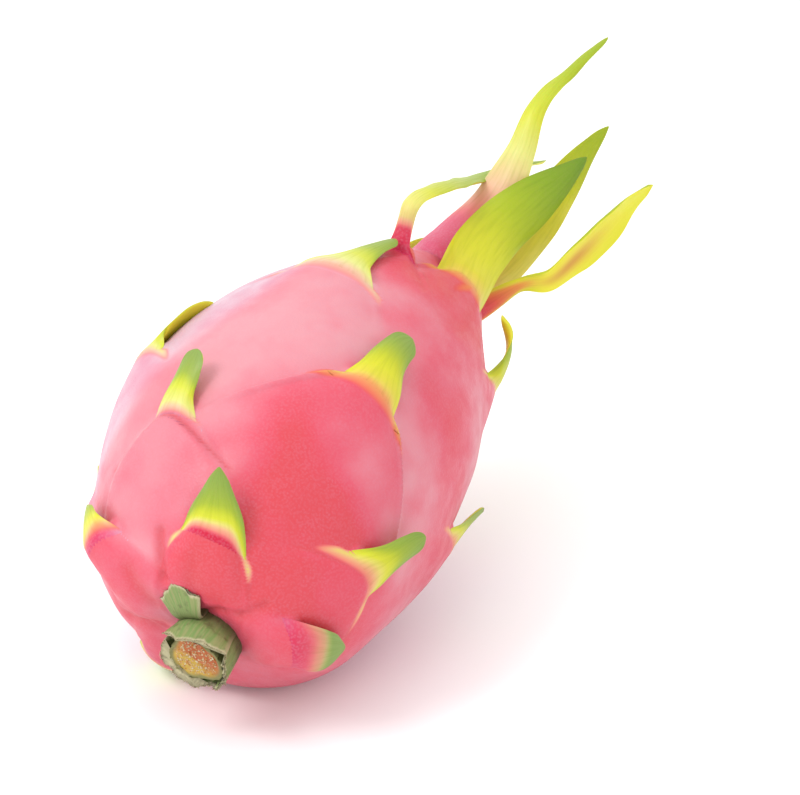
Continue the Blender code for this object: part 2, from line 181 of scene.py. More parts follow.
def tint(red: int, green: int, blue: int, gain: float = STUDIO_GAIN) -> Colour:
    """Turn a display colour into the colour that a surface needs to show it in the studio.

    Args:
        red: Red, 0 to 255.
        green: Green, 0 to 255.
        blue: Blue, 0 to 255.
        gain: Share that allows for how bright the studio is.

    Returns:
        Linear red, green and blue, and 1 for alpha.
    """
    shares = np.array([red, green, blue]) / 255.0
    # The usual curve between a display's values and light.
    linear = gain * np.where(shares <= 0.04045, shares / 12.92, ((shares + 0.055) / 1.055) ** 2.4)
    return (float(linear[0]), float(linear[1]), float(linear[2]), 1.0)


def leafy(red: int, green: int, blue: int) -> Colour:
    """Colour of the fleshy scales, which stand in less light than the skin."""
    return tint(red, green, blue, LEAF_GAIN)


def stand(name: str, data: bpy.types.ID) -> bpy.types.Object:
    """Put a mesh, a light or a camera in the scene.

    Args:
        name: Name of the object.
        data: The mesh, light or camera.

    Returns:
        The new object.
    """
    made = bpy.data.objects.new(name, data)
    bpy.context.scene.collection.objects.link(made)
    return made


# ---------------------------------------------------------------------------------------------
# Shape of the bare fruit
# ---------------------------------------------------------------------------------------------

@dataclass(frozen=True)
class FruitForm:
    """Bare body of the fruit, without what grows on it. Lengths are in metres, angles in degrees."""

    length: float = 0.141
    radius: float = 0.0426
    stem_fullness: float = 0.754
    crown_fullness: float = 1.254
    stem_heaviness: float = 0.216
    bow: float = 0.006
    bow_angle: float = 112.0
    tilt: float = 12.0
    flat_depth: float = 0.0016
    dimple_depth: float = 0.007
    dimple_radius: float = 0.013
    open_depth: float = 0.0044
    stem_shift: float = 0.0040
    stem_shift_angle: float = 150.0

    @cached_property
    def stem_foot(self) -> Array:
        """Middle of the hollow's floor at the stem, in the fruit's own axes.

        Returns:
            Its x, y and z, in metres.
        """
        bow, shift = math.radians(self.bow_angle), math.radians(self.stem_shift_angle)
        y = -self.bow * math.sin(bow) - self.stem_shift * math.sin(shift)
        z = self.bow * math.cos(bow) + self.stem_shift * math.cos(shift)
        return np.array([-self.length / 2 + self.dimple_depth, y, z])

    def ring_radius(self, s: Array) -> Array:
        """Find how far the bare skin lies from the fruit's axis.

        Args:
            s: How far from the stem toward the crown, 0 to 1.

        Returns:
            Distances in metres.
        """
        girth = np.maximum(np.sin(np.pi * s), 1e-7)
        fullness = self.stem_fullness + (self.crown_fullness - self.stem_fullness) * s
        return self.radius * girth ** fullness * (1.0 + self.stem_heaviness * np.cos(np.pi * s))

    def skin_point(self, s: Array, theta: Array) -> Array:
        """Find the place of the bare skin.

        Args:
            s: How far from the stem toward the crown, 0 to 1.
            theta: Angle round the axis, in radians.

        Returns:
            Places in the fruit's own axes.
        """
        along = np.cos(np.pi * s)
        radius = self.ring_radius(s)
        bow, angle = self.bow * along ** 2, math.radians(self.bow_angle)
        y = -radius * np.sin(theta) - bow * math.sin(angle)
        z = radius * np.cos(theta) + bow * math.cos(angle)
        foot = self.stem_foot
        from_foot = ((y - foot[1]) ** 2 + (z - foot[2]) ** 2) / self.dimple_radius ** 2
        dimple = self.open_depth * np.exp(-from_foot) * np.where(s < 0.5, 1.0, 0.0)
        return np.stack([-self.length / 2 * along + dimple, y, z], axis=-1)

    def axes(self, s: Array, theta: Array) -> tuple[Array, Array, Array]:
        """Find the directions on the skin.

        Args:
            s: How far from the stem toward the crown, 0 to 1.
            theta: Angle round the axis, in radians.

        Returns:
            Unit vectors ahead toward the crown, out of the skin and across it.
        """
        step = 1e-4
        ahead = unit(self.skin_point(s + step, theta) - self.skin_point(s - step, theta))
        across = unit(self.skin_point(s, theta + step) - self.skin_point(s, theta - step))
        return ahead, unit(np.cross(across, ahead)), across

    def gap_from(self, s: float, theta: float, points: Array) -> Array:
        """Measure how far points lie from one place of the bare skin.

        Args:
            s: How far the place is from the stem toward the crown, 0 to 1.
            theta: Its angle round the axis, in degrees.
            points: Points in the fruit's own axes.

        Returns:
            Distances in metres.
        """
        middle = self.skin_point(np.float64(s), np.float64(math.radians(theta)))
        return np.linalg.norm(points - middle, axis=-1)

    @cached_property
    def arc_table(self) -> tuple[Array, Array]:
        """Distances over the skin from the stem.

        Returns:
            Evenly spaced s, and the distance of each.
        """
        s = np.linspace(0.0, 1.0, 401)
        steps = np.linalg.norm(np.diff(self.skin_point(s, np.zeros_like(s)), axis=0), axis=1)
        return s, np.concatenate([[0.0], np.cumsum(steps)])

    def arc(self, s: Array) -> Array:
        """Distance over the skin from the stem."""
        return np.interp(s, *self.arc_table)

    def s_at(self, arc: Array) -> Array:
        """Share s of the place that is so far over the skin from the stem."""
        table = self.arc_table
        return np.interp(arc, table[1], table[0])

    def tilted(self, points: Array) -> Array:
        """Turn points so that the crown end is raised.

        Args:
            points: Points in the fruit's own axes.

        Returns:
            The turned points.
        """
        angle = math.radians(self.tilt)
        x = points[..., 0] * math.cos(angle) - points[..., 2] * math.sin(angle)
        z = points[..., 0] * math.sin(angle) + points[..., 2] * math.cos(angle)
        return np.stack([x, points[..., 1], z], axis=-1)

    @cached_property
    def rest_spot(self) -> Array:
        """Where the tilted bare body would touch the floor first.

        Returns:
            That place, a little inside the skin, so that the fruit gets a flat spot to lie on.
        """
        s, theta = np.meshgrid(np.linspace(0.05, 0.95, 181), np.radians(np.arange(90, 271)), indexing="ij")
        points = self.tilted(self.skin_point(s, theta)).reshape(-1, 3)
        return points[np.argmin(points[:, 2])] + np.array([0.0, 0.0, self.flat_depth])

    def set_down(self, points: Array) -> Array:
        """Move points of the fruit's own axes to where the fruit lies on the floor."""
        return self.tilted(points) - self.rest_spot


# ---------------------------------------------------------------------------------------------
# What grows on the body
# ---------------------------------------------------------------------------------------------

SHORT_TINTS = ((-3, 0.0), (1, 0.33), (5, 0.60), (11, 0.80), (20, 0.93))


@dataclass(frozen=True)
class Growth:
    """One scale and the mound of skin that it grows from. Lengths are in millimetres.

    The root is at s and theta, in degrees. The mound has a half width, a reach toward the stem, a
    height, and a flare that widens it toward the stem. The path holds way points of the middle line
    as (ahead, out, across), evenly spaced from the root to the tip. Widths are shares of the half
    width, and the fold across the scale and its twist are in degrees. Tints give the ripeness colour
    at distances from the root, negative on the mound. Warm, moss, blush and stain say how orange, how
    weathered, how red and how stained it is. Pull moves the colours down along the margins. A pouch
    is a fold of skin just under the scale. A turned scale shows its yellow face on the outside.
    """

    name: str
    s: float
    theta: float
    half_width: float
    reach: float
    height: float
    flare: float
    path: tuple
    widths: tuple
    fold: tuple = (65, 60, 40)
    twist: float = 0.0
    thickness: float = 2.2
    tints: tuple = SHORT_TINTS
    warm: float = 0.4
    moss: float = 0.4
    blush: float = 0.5
    pull: float = 6.0
    ridge: float = 0.6
    ridge_reach: float = 8.0
    pull_power: float = 5.0
    pouch: float = 0.0
    pouch_pull: float = 9.0
    stain: float = 0.0
    turned: bool = False

    def leaf(self, distance: Array, edge: Array) -> Array:
        """Ripeness colour of the scale, from 0, skin pink, to 1, deep green.

        Args:
            distance: Distance from the root toward the tip, in metres.
            edge: Share of the half width, 0 in the middle and 1 at a margin.

        Returns:
            The colour's place on the ripeness ramp.
        """
        places, values = zip(*self.tints)
        pulled = distance / MM + self.pull * np.clip(edge, 0.0, 1.0) ** self.pull_power
        return np.interp(pulled, places, values)


# Each growth starts with its name, s, theta, half width, reach, height and flare.
SIDE_GROWTHS = (
    Growth("side_scale_1", 0.150, 14, 9.0, 24, 4.2, 0.35,
           path=((5.5, 4.6, -0.5), (11, 5.6, -1.2), (16.5, 6.2, -2)), widths=(0.74, 0.42, 0.12),
           fold=(60, 50, 40), thickness=2.0,
           tints=((0.5, 0.0), (2.5, 0.30), (4.5, 0.62), (8, 0.78), (16, 0.93)), warm=0.35, moss=0.65,
           blush=1.0, pull=7.0, ridge=0.8, ridge_reach=12.0),
    Growth("side_scale_2", 0.160, 297, 8.5, 25, 5.4, 0.40,
           path=((5, 4.4, -0.4), (9.5, 2.8, -1), (13.5, 0.6, -2)), widths=(0.74, 0.46, 0.14),
           fold=(45, 40, 30), thickness=2.0,
           tints=((0.5, 0.0), (3.0, 0.28), (6.0, 0.58), (10, 0.74), (15, 0.84)), warm=0.7, moss=0.45,
           blush=0.75, pull=1.5, ridge=1.0, ridge_reach=12.0),
    Growth("side_scale_3", 0.302, 343, 6.5, 24, 3.0, 0.95,
           path=((5.5, 3.4, 1.2), (11, 4.0, 2.8), (16.5, 4.6, 4.8)), widths=(0.68, 0.56, 0.46),
           fold=(70, 60, 40),
           tints=((-0.6, 0.0), (1.2, 0.28), (3.5, 0.50), (7, 0.62), (11, 0.80), (19, 0.92)), warm=0.10,
           moss=0.85, blush=0.35, pull=2.5, pull_power=2.2, ridge=0.8, ridge_reach=8.0, pouch=1.5),
    Growth("side_scale_4", 0.440, 308, 8.0, 26, 2.8, 0.80,
           path=((7, 1.4, 2.4), (14, -0.6, 5.6), (21, -4.2, 9.0)), widths=(0.88, 0.68, 0.30),
           fold=(40, 30, 20), twist=24, tints=((-4, 0.0), (1, 0.40), (5, 0.60), (12, 0.74), (22, 0.86)),
           warm=0.05, moss=0.45, blush=0.25),
    Growth("side_scale_5", 0.440, 40, 8.5, 26, 3.2, 1.00,
           path=((6.5, 3.8, -0.8), (13, 4.0, -0.8), (19.5, 4.0, 0.8)), widths=(0.68, 0.52, 0.42),
           fold=(60, 60, 40), thickness=2.4,
           tints=((-5, 0.0), (-1, 0.28), (3, 0.56), (8, 0.66), (14, 0.80), (20, 0.93)), warm=0.80,
           moss=0.80, blush=0.72, pull=4.0, ridge=1.4, ridge_reach=26.0),
    Growth("side_scale_6", 0.600, 0, 12.5, 26, 2.8, 0.70,
           path=((8.8, 2.7, 1.2), (17.8, 2.8, 2.8), (24.8, 3.0, 5)), widths=(0.50, 0.27, 0.19),
           fold=(60, 55, 40), thickness=2.4,
           tints=((-5, 0.0), (1, 0.34), (6, 0.50), (11, 0.64), (17, 0.80), (27, 0.90)), warm=0.05,
           moss=0.65, blush=0.15, pull=4.0),
    Growth("side_scale_7", 0.130, 95, 9.5, 22, 4.0, 0.35,
           path=((5, 3.4, 1), (9, 2.4, 2), (12.5, 0.4, 3)), widths=(0.80, 0.58, 0.26), fold=(45, 35, 25),
           thickness=2.0, tints=((-3, 0.0), (3, 0.08), (7, 0.24), (10, 0.60), (15, 0.92)), warm=0.30,
           moss=1.0, blush=0.75, pull=1.0),
    Growth("side_scale_8", 0.270, 78, 7.5, 24, 3.0, 0.80,
           path=((6, 3.6, 0.5), (12, 4.0, 1), (18, 4.4, 1.5)), widths=(0.60, 0.46, 0.36), warm=0.5,
           moss=0.6, blush=0.7, pull_power=2.2, pouch=0.5),
    Growth("side_scale_9", 0.190, 214, 8.0, 22, 3.0, 0.40,
           path=((5, 3.2, 0), (10, 3.2, -0.5), (15, 3.0, -1)), widths=(0.72, 0.42, 0.14),
           fold=(60, 50, 40), thickness=2.0, warm=0.3, moss=0.5, blush=0.6),
    Growth("side_scale_10", 0.330, 262, 7.5, 26, 3.0, 0.85,
           path=((6, 3.6, 0), (12, 4.2, 0), (18, 4.8, 0)), widths=(0.60, 0.46, 0.38), warm=0.2, moss=0.7,
           blush=0.45, pull_power=2.2, pouch=0.7),
    Growth("side_scale_11", 0.480, 118, 7.5, 26, 2.8, 0.90,
           path=((6.5, 3.6, 0.6), (13, 4.6, 1.4), (19, 6, 2.4)), widths=(0.60, 0.44, 0.34), warm=0.6,
           moss=0.4, blush=0.75),
    Growth("side_scale_12", 0.470, 172, 8.0, 24, 2.6, 0.80,
           path=((7, 4.6, 0), (14, 7.4, 0), (21, 10.5, 0)), widths=(0.62, 0.48, 0.36), fold=(50, 30, 10),
           thickness=2.4, warm=0.3, moss=0.5, blush=0.6),
    Growth("side_scale_13", 0.520, 222, 8.0, 26, 3.0, 0.90,
           path=((6.5, 6, -1), (13, 11, -2), (19, 16, -3)), widths=(0.60, 0.46, 0.36), fold=(60, 40, 20),
           thickness=2.4, warm=0.5, moss=0.4, blush=0.55),
    Growth("side_scale_14", 0.700, 104, 6.5, 24, 2.6, 0.90,
           path=((7, 5.3, -3.5), (13.5, 5.9, -5.8), (18.5, 2.5, -10.6)), widths=(0.56, 0.38, 0.16),
           fold=(70, 60, 40), tints=((-3, 0.0), (1, 0.40), (5, 0.66), (11, 0.80), (22, 0.90)), warm=0.4,
           moss=0.2, blush=0.6),
    Growth("side_scale_15", 0.600, 290, 7.5, 26, 2.8, 0.90,
           path=((7, 2.8, 0.5), (14, 1.6, 1), (21, -0.6, 1.5)), widths=(0.58, 0.44, 0.26), warm=0.2,
           moss=0.5, blush=0.4),
    Growth("side_scale_16", 0.660, 156, 7.5, 24, 2.8, 0.90,
           path=((7, 4.6, 0.5), (14, 7.2, 1), (21, 9.4, 1.5)), widths=(0.58, 0.44, 0.30), warm=0.5,
           moss=0.3, blush=0.6),
    Growth("side_scale_17", 0.680, 244, 7.5, 24, 2.8, 0.90,
           path=((7.5, 4.4, 0), (15, 6, -0.5), (22, 6.6, -1)), widths=(0.58, 0.44, 0.28), warm=0.4,
           moss=0.4, blush=0.5),
)

CROWN_GROWTHS = (
    Growth("crown_scale_1", 0.720, 8, 7.0, 22, 2.6, 0.85,
           path=((0.4, 7.3, 0), (2.1, 15.9, -0.3), (18.4, 19.8, 0.2), (44.2, 20.0, -2.0),
                 (61.1, 23.1, 0.1), (78.6, 24.4, 2.1)), widths=(0.38, 0.36, 0.47, 0.42, 0.26, 0.08),
           fold=(110, 60, 30), twist=10,
           tints=((-3, 0.0), (6, 0.06), (9, 0.42), (16, 0.52), (24, 0.68), (42, 0.78), (66, 0.88)),
           warm=0.25, moss=0.05, blush=1.0, pull=1.5, ridge=0.4),
    Growth("crown_scale_2", 0.825, 6, 7.5, 22, 3.0, 0.80,
           path=((10.0, 11.8, 3.3), (16.6, 24.0, 6.7), (17.5, 37.2, 8.6), (18.6, 50.0, 9.2),
                 (28.1, 62.6, 11.4), (37.4, 74.3, 14.5)), widths=(1.06, 0.84, 0.54, 0.36, 0.24, 0.10),
           fold=(80, 90, 60), thickness=2.4,
           tints=((0, 0.0), (16, 0.06), (30, 0.34), (42, 0.50), (54, 0.66), (70, 0.78), (92, 0.88)),
           warm=0.05, moss=0.10, blush=0.60, pull=3.0, ridge=0.5),
    Growth("crown_scale_3", 0.780, 49, 9.0, 26, 4.0, 0.70,
           path=((14, 14.6, -3.6), (26, 28.6, -2.6), (36, 43.9, -1.5)), widths=(0.88, 0.70, 0.10),
           fold=(80, 70, 40), thickness=2.6,
           tints=((-6, 0.0), (-1, 0.30), (4, 0.58), (16, 0.66), (26, 0.78), (40, 0.90), (54, 0.98)),
           warm=0.80, moss=0.05, blush=0.80, pull=3.0, ridge=0.9, ridge_reach=14.0, stain=0.5),
    Growth("crown_scale_4", 0.930, 50, 7.0, 10, 1.6, 0.50,
           path=((2, 20, 6), (3, 42, 3), (2, 64, 0)), widths=(0.90, 0.78, 0.10), fold=(60, 60, 30),
           thickness=2.4, tints=((-2, 0.1), (6, 0.38), (16, 0.52), (40, 0.60), (50, 0.74), (66, 0.84)),
           warm=0.60, moss=0.05, blush=0.7, pull=2.0, ridge=0.3, stain=0.7),
    Growth("crown_scale_5", 0.860, 92, 6.0, 22, 2.8, 0.70,
           path=((0, 13.7, -4.8), (1, 23.1, -3.4), (4, 32.0, -6.5), (8, 40.5, -9.0), (12, 49.2, -11.8),
                 (16, 58.5, -14.1)), widths=(0.40, 0.60, 0.86, 0.92, 0.62, 0.10), fold=(90, -40, -40),
           tints=((-3, 0.0), (3, 0.14), (12, 0.34), (20, 0.58), (34, 0.66), (60, 0.80)), warm=1.0,
           moss=0.05, blush=0.75, pull=26.0, pull_power=3.0, ridge=0.4, stain=0.8, turned=True),
    Growth("crown_scale_6", 0.860, 160, 7.0, 22, 2.8, 0.80,
           path=((8, 11, 0), (17, 20, 0), (26, 27, 0)), widths=(0.76, 0.60, 0.12), fold=(80, 70, 40),
           tints=((-4, 0.0), (2, 0.32), (10, 0.60), (20, 0.76), (38, 0.90)), warm=0.6, moss=0.3,
           blush=0.7),
    Growth("crown_scale_7", 0.850, 226, 7.0, 22, 2.8, 0.80,
           path=((9, 11, 0), (18, 20, 0), (28, 28, 0)), widths=(0.76, 0.60, 0.12), fold=(80, 70, 40),
           tints=((-4, 0.0), (3, 0.32), (11, 0.60), (22, 0.76), (40, 0.90)), warm=0.3, moss=0.2,
           blush=0.6),
    Growth("crown_scale_8", 0.810, 292, 7.0, 24, 2.8, 0.80,
           path=((9, 6.5, 0), (19, 11, 0), (29, 14, 0)), widths=(0.72, 0.52, 0.12), fold=(80, 70, 40),
           tints=((-4, 0.0), (2, 0.34), (9, 0.60), (18, 0.78), (32, 0.90)), warm=0.2, moss=0.4,
           blush=0.45),
)


@dataclass(frozen=True)
class Patch:
    """A soft patch of redder or paler skin, with its radius in millimetres. Part of it is the skin's own
    tone and part is painted light.
    """

    s: float
    theta: float
    radius: float
    amount: float


# The paler patches on the upper side are partly the skin's own tone and partly painted light falling there.
PATCHES = (
    Patch(0.46, 5, 28, -0.22),
    Patch(0.58, 340, 26, -0.20),
    Patch(0.42, 322, 20, -0.24),
    Patch(0.27, 343, 13, -0.14),
    Patch(0.345, 26, 12, 0.62),
    Patch(0.25, 50, 15, 0.85),
    Patch(0.22, 86, 22, 0.60),
    Patch(0.16, 36, 10, 0.50),
    Patch(0.115, 15, 12, 0.75),
    Patch(0.52, 64, 15, 0.62),
    Patch(0.72, 52, 20, 0.62),
    Patch(0.64, 20, 14, 0.16),
    Patch(0.40, 329, 6, 0.30),
    Patch(0.12, 268, 16, 0.42),
)


@dataclass(frozen=True)
class Hollow:
    """A soft, broad hollow in the body, with its radius and depth in millimetres."""

    s: float
    theta: float
    radius: float
    depth: float


HOLLOWS = (
    Hollow(0.085, 205, 13, 5.5),
    Hollow(0.130, 150, 16, 3.0),
)


@dataclass(frozen=True)
class Crease:
    """A fold pressed into the skin along places of it. Depth and width are in millimetres."""

    line: tuple
    depth: float
    width: float


CREASES = (
    Crease(((0.140, 341), (0.119, 340), (0.074, 337)), 0.9, 1.3),
    Crease(((0.109, 7), (0.060, 3), (0.025, 356)), 0.45, 2.2),
    Crease(((0.062, 58), (0.085, 60), (0.112, 61)), 0.8, 1.4),
    Crease(((0.012, 10), (0.030, 32), (0.045, 42)), 0.7, 1.2),
    Crease(((0.125, 252), (0.084, 251), (0.056, 248)), 1.2, 2.4),
    Crease(((0.100, 310), (0.080, 306), (0.050, 300)), 0.5, 2.0),
)


@dataclass(frozen=True)
class Relief:
    """What lifts the skin off the bare body, and how it is painted. Lengths are in metres.

    Wander holds swells of the skin's height, whose amounts are in millimetres, and cloud holds swells
    of its blush.
    """

    form: FruitForm
    growths: tuple[Growth, ...]
    lip: float = 0.0010
    fall: float = 0.0032
    rise_power: float = 1.6
    side_power: float = 2.6
    side_softness: float = 1.35
    blend: float = 4.0
    ridge_place: float = 0.95
    ridge_width: float = 0.0009
    ridge_end: tuple = (-0.0035, 0.0003)
    pouch_power: float = 2.2
    pouch_edge: tuple = (-0.0003, 0.0009)
    pouch_fall: float = 0.011
    pouch_shade: float = 0.0016
    pouch_shade_below: float = 0.0004
    wander: tuple = ((0.35, 0.022, 11), (0.16, 0.009, 12))
    cloud: tuple = ((0.13, 0.020, 21), (0.08, 0.007, 22))
    base_blush: float = 0.26
    mound_blush_share: float = 0.85
    # Painted highlight on the margin ridges: how pale it is and how it fades behind.
    ridge_highlight: float = 0.40
    ridge_highlight_fall: float = 0.012
    inside_fade: tuple = (0.86, 1.08)
    margin_fade: tuple = (0.94, 1.22)
    margin_lead: float = 0.0036
    root_fade: tuple = (0.0005, 0.0035)
    ridge_highlight_fade: tuple = (0.0005, 0.0030)
    # Painted shade along the folds: its strength and its spread.
    crease_painted_shade: float = 0.8
    crease_painted_shade_spread: float = 1.4

    def place(self, growth: Growth, s: Array, theta: Array) -> tuple[Array, Array, Array]:
        """Find where places of the skin lie from a growth's root.

        Args:
            growth: The growth.
            s: How far from the stem toward the crown, 0 to 1.
            theta: Angle round the axis, in radians.

        Returns:
            Distance ahead, distance across and the half width of the mound there, in metres.
        """
        ahead = self.form.arc(s) - self.form.arc(np.float64(growth.s))
        turn = np.angle(np.exp(1j * (theta - math.radians(growth.theta))))
        across = turn * self.form.ring_radius(s)
        half_width = growth.half_width * MM - growth.flare * np.minimum(ahead, 0.0)
        return ahead, across, half_width

    def fade_ahead(self, ahead: Array, keep: bool) -> Array:
        """Keep a mound's full height to just past the root, and then let it fall steeply.

        Args:
            ahead: Distance ahead of the root, in metres.
            keep: Whether the height runs on instead.

        Returns:
            Share of the height that is left.
        """
        if keep:
            return np.ones_like(ahead)
        return 1.0 - smooth(ahead, self.lip, self.lip + self.fall)

    def pouch_line(self, growth: Growth, edge: Array) -> Array:
        """Distance ahead of the root where a mound folds in under its scale."""
        return -(1.0 + growth.pouch_pull * np.clip(edge, 0.0, 1.0) ** self.pouch_power) * MM

    def ridge(self, across: Array, half_width: Array, width: float) -> Array:
        """Share of the ridge along the two margins of a mound.

        Args:
            across: Distance across the mound, in metres.
            half_width: Half the mound's width there.
            width: Width of the ridge.

        Returns:
            1 on the ridge and 0 away from it.
        """
        return np.exp(-((np.abs(across) - self.ridge_place * half_width) / width) ** 2)

    def height(self, s: Array, theta: Array, keep: str = "") -> Array:
        """Height of the skin above the bare body.

        Args:
            s: How far from the stem toward the crown, 0 to 1.
            theta: Angle round the axis, in radians.
            keep: Name of the growth whose mound runs on past its root.

        Returns:
            Heights in metres.
        """
        mounds = np.zeros(np.broadcast(s, theta).shape)
        extra = np.zeros_like(mounds)
        for growth in self.growths:
            ahead, across, half_width = self.place(growth, s, theta)
            edge = np.abs(across) / half_width
            rise = np.clip(1.0 + np.minimum(ahead, 0.0) / (growth.reach * MM), 0.0, 1.0)
            falling = self.fade_ahead(ahead, growth.name == keep)
            side = np.clip(1.0 - edge ** self.side_power, 0.0, 1.0) ** self.side_softness
            mounds += (growth.height * rise ** self.rise_power * falling * side) ** self.blend
            crest = self.ridge(across, half_width, self.ridge_width)
            fading = np.exp(np.minimum(ahead, 0.0) / (growth.ridge_reach * MM))
            fading = fading * (1.0 - smooth(ahead, *self.ridge_end))
            extra += growth.ridge * crest * fading * (rise > 0.0)
            if growth.pouch:
                behind = self.pouch_line(growth, edge) - ahead
                falling = np.exp(-np.maximum(behind, 0.0) / self.pouch_fall)
                bulge = smooth(behind, *self.pouch_edge) * falling
                extra += growth.pouch * bulge * np.clip(1.0 - edge ** 6, 0.0, 1.0)
        points = self.form.skin_point(s, theta)
        raised = (mounds ** (1.0 / self.blend) + extra + swells(points, self.wander)) * MM
        return raised - self.crease_depth(points) - self.hollow_depth(points)

    def hollow_depth(self, points: Array) -> Array:
        """Find the depth of the broad hollows.

        Args:
            points: Points of the bare skin.

        Returns:
            Depths in metres.
        """
        depth = np.zeros(points.shape[:-1])
        for hollow in HOLLOWS:
            gap = self.form.gap_from(hollow.s, hollow.theta, points) / (hollow.radius * MM)
            depth = depth + hollow.depth * MM * np.exp(-gap ** 2)
        return depth

    def crease_depth(self, points: Array) -> Array:
        """Find the depth of the folds.

        Args:
            points: Points of the bare skin.

        Returns:
            Depths in metres.
        """
        depth = np.zeros(points.shape[:-1])
        for crease in CREASES:
            near = self.crease_distance(crease, points) / (crease.width * MM)
            depth = np.maximum(depth, crease.depth * MM * np.exp(-near ** 2))
        return depth

    def crease_distance(self, crease: Crease, points: Array) -> Array:
        """Measure how far points lie from a fold.

        Args:
            crease: The fold.
            points: Points of the bare skin.

        Returns:
            Distances in metres.
        """
        places = np.array(crease.line, dtype=float)
        line = self.form.skin_point(places[:, 0], np.radians(places[:, 1]))
        nearest = np.full(points.shape[:-1], np.inf)
        for start, end in zip(line[:-1], line[1:]):
            along = end - start
            share = np.clip((points - start) @ along / (along @ along), 0.0, 1.0)
            gap = np.linalg.norm(points - start - share[..., None] * along, axis=-1)
            nearest = np.minimum(nearest, gap)
        return nearest

    def paint(self, s: Array, theta: Array) -> Paint:
        """Paint the skin.

        Args:
            s: How far from the stem toward the crown, 0 to 1.
            theta: Angle round the axis, in radians.

        Returns:
            Painted values by name: leaf, warm, moss, blush and crease, which is painted shade in the folds
                and under the pouches.
        """
        points = self.form.skin_point(s, theta)
        leaf, warm, moss, crease = (np.zeros(np.broadcast(s, theta).shape) for _ in range(4))
        blush = self.base_blush + swells(points, self.cloud)
        for patch in PATCHES:
            gap = self.form.gap_from(patch.s, patch.theta, points) / (patch.radius * MM)
            blush = blush + patch.amount * np.exp(-gap ** 2)
        for growth in self.growths:
            ahead, across, half_width = self.place(growth, s, theta)
            edge = np.abs(across) / half_width
            blush = self.mound_blush(growth, (ahead, across, half_width), blush)
            early = self.margin_lead * np.clip(edge, 0.0, 1.0) ** 4
            shown = (1.0 - smooth(edge, *self.margin_fade)) * (1.0 - smooth(ahead + early, *self.root_fade))
            value = growth.leaf(ahead, edge) * shown
            stronger = value > leaf
            leaf = np.where(stronger, value, leaf)
            warm = np.where(stronger, growth.warm, warm)
            moss = np.where(stronger, growth.moss, moss)
            # Painted shade where the mound folds in under its scale.
            if growth.pouch:
                past = ahead - self.pouch_line(growth, edge)
                reach = np.where(past > 0.0, self.pouch_shade, self.pouch_shade_below)
                crease = np.maximum(crease, np.exp(-np.abs(past) / reach) * shown)
        # Painted shade along each fold.
        for fold in CREASES:
            near = self.crease_distance(fold, points) / (self.crease_painted_shade_spread * fold.width * MM)
            crease = np.maximum(crease, self.crease_painted_shade * np.exp(-near ** 2))
        blush = np.clip(blush, 0.0, 1.0)
        return {"leaf": leaf, "warm": warm, "moss": moss, "blush": blush, "crease": crease}

    def mound_blush(self, growth: Growth, place: tuple[Array, Array, Array], blush: Array) -> Array:
        """Redden a mound as its growth says, and paint a highlight on the ridge along its margins.

        Args:
            growth: The growth.
            place: Distance ahead, distance across and half width, from the place method.
            blush: Blush of the skin so far.

        Returns:
            The changed blush.
        """
        ahead, across, half_width = place
        inside = 1.0 - smooth(np.abs(across) / half_width, *self.inside_fade)
        rise = smooth(ahead, -growth.reach * MM, -0.15 * growth.reach * MM)
        reached = rise * inside * (1.0 - smooth(ahead, 0.0, 0.006))
        blush = blush + (growth.blush - blush) * reached * self.mound_blush_share
        # Painted highlight on the crest of the margin ridge.
        crest = self.ridge(across, half_width, 2.0 * self.ridge_width)
        crest = crest * np.exp(np.minimum(ahead, 0.0) / self.ridge_highlight_fall)
        crest = crest * (1.0 - smooth(ahead, *self.ridge_highlight_fade))
        return blush - self.ridge_highlight * growth.ridge * crest * rise * inside


# ---------------------------------------------------------------------------------------------
# Meshes
# ---------------------------------------------------------------------------------------------

def closed_loft(name: str, grid: Array, paint: Paint) -> bpy.types.Object:
    """Make a closed, smooth solid from rings of points, with a fan at each end.

    Args:
        name: Name of the piece.
        grid: Points as rings, points of a ring and x, y, z.
        paint: Painted values by name, one for each point of the grid.

    Returns:
        The new object, linked to the scene.
    """
    rings, around = grid.shape[:2]
    middles = [grid[0].mean(axis=0)[None], grid[-1].mean(axis=0)[None]]
    points = np.concatenate([grid.reshape(-1, 3), *middles])
    ring, step = np.meshgrid(np.arange(rings - 1), np.arange(around), indexing="ij")
    after = (step + 1) % around
    quads = np.stack([ring * around + step, ring * around + after,
                      (ring + 1) * around + after, (ring + 1) * around + step], axis=-1).reshape(-1, 4)
    last = (rings - 1) * around
    turn = np.arange(around)
    first_fan = np.stack([np.full(around, rings * around), (turn + 1) % around, turn], axis=-1)
    last_middle = np.full(around, rings * around + 1)
    last_fan = np.stack([last_middle, last + turn, last + (turn + 1) % around], axis=-1)
    mesh = bpy.data.meshes.new(name)
    mesh.from_pydata(points.tolist(), [], quads.tolist() + first_fan.tolist() + last_fan.tolist())
    solid = bmesh.new()
    solid.from_mesh(mesh)
    bmesh.ops.recalc_face_normals(solid, faces=solid.faces)
    solid.to_mesh(mesh)
    solid.free()
    mesh.shade_smooth()
    for key, values in paint.items():
        full = np.concatenate([values.reshape(-1), [values[0].mean(), values[-1].mean()]])
        layer = mesh.attributes.new(key, "FLOAT", "POINT")
        layer.data.foreach_set("value", full.astype(np.float32))
    return stand(name, mesh)


def settle(piece: bpy.types.Object, slot: Slot, material: bpy.types.Material, *nodes: str) -> None:
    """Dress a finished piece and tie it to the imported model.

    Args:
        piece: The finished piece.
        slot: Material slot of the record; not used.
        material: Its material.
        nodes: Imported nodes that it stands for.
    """
    piece.data.materials.clear()
    piece.data.materials.append(material)
    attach(piece, BODY)
    if nodes:
        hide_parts(*nodes)


# ---------------------------------------------------------------------------------------------
# Body and scales
# ---------------------------------------------------------------------------------------------

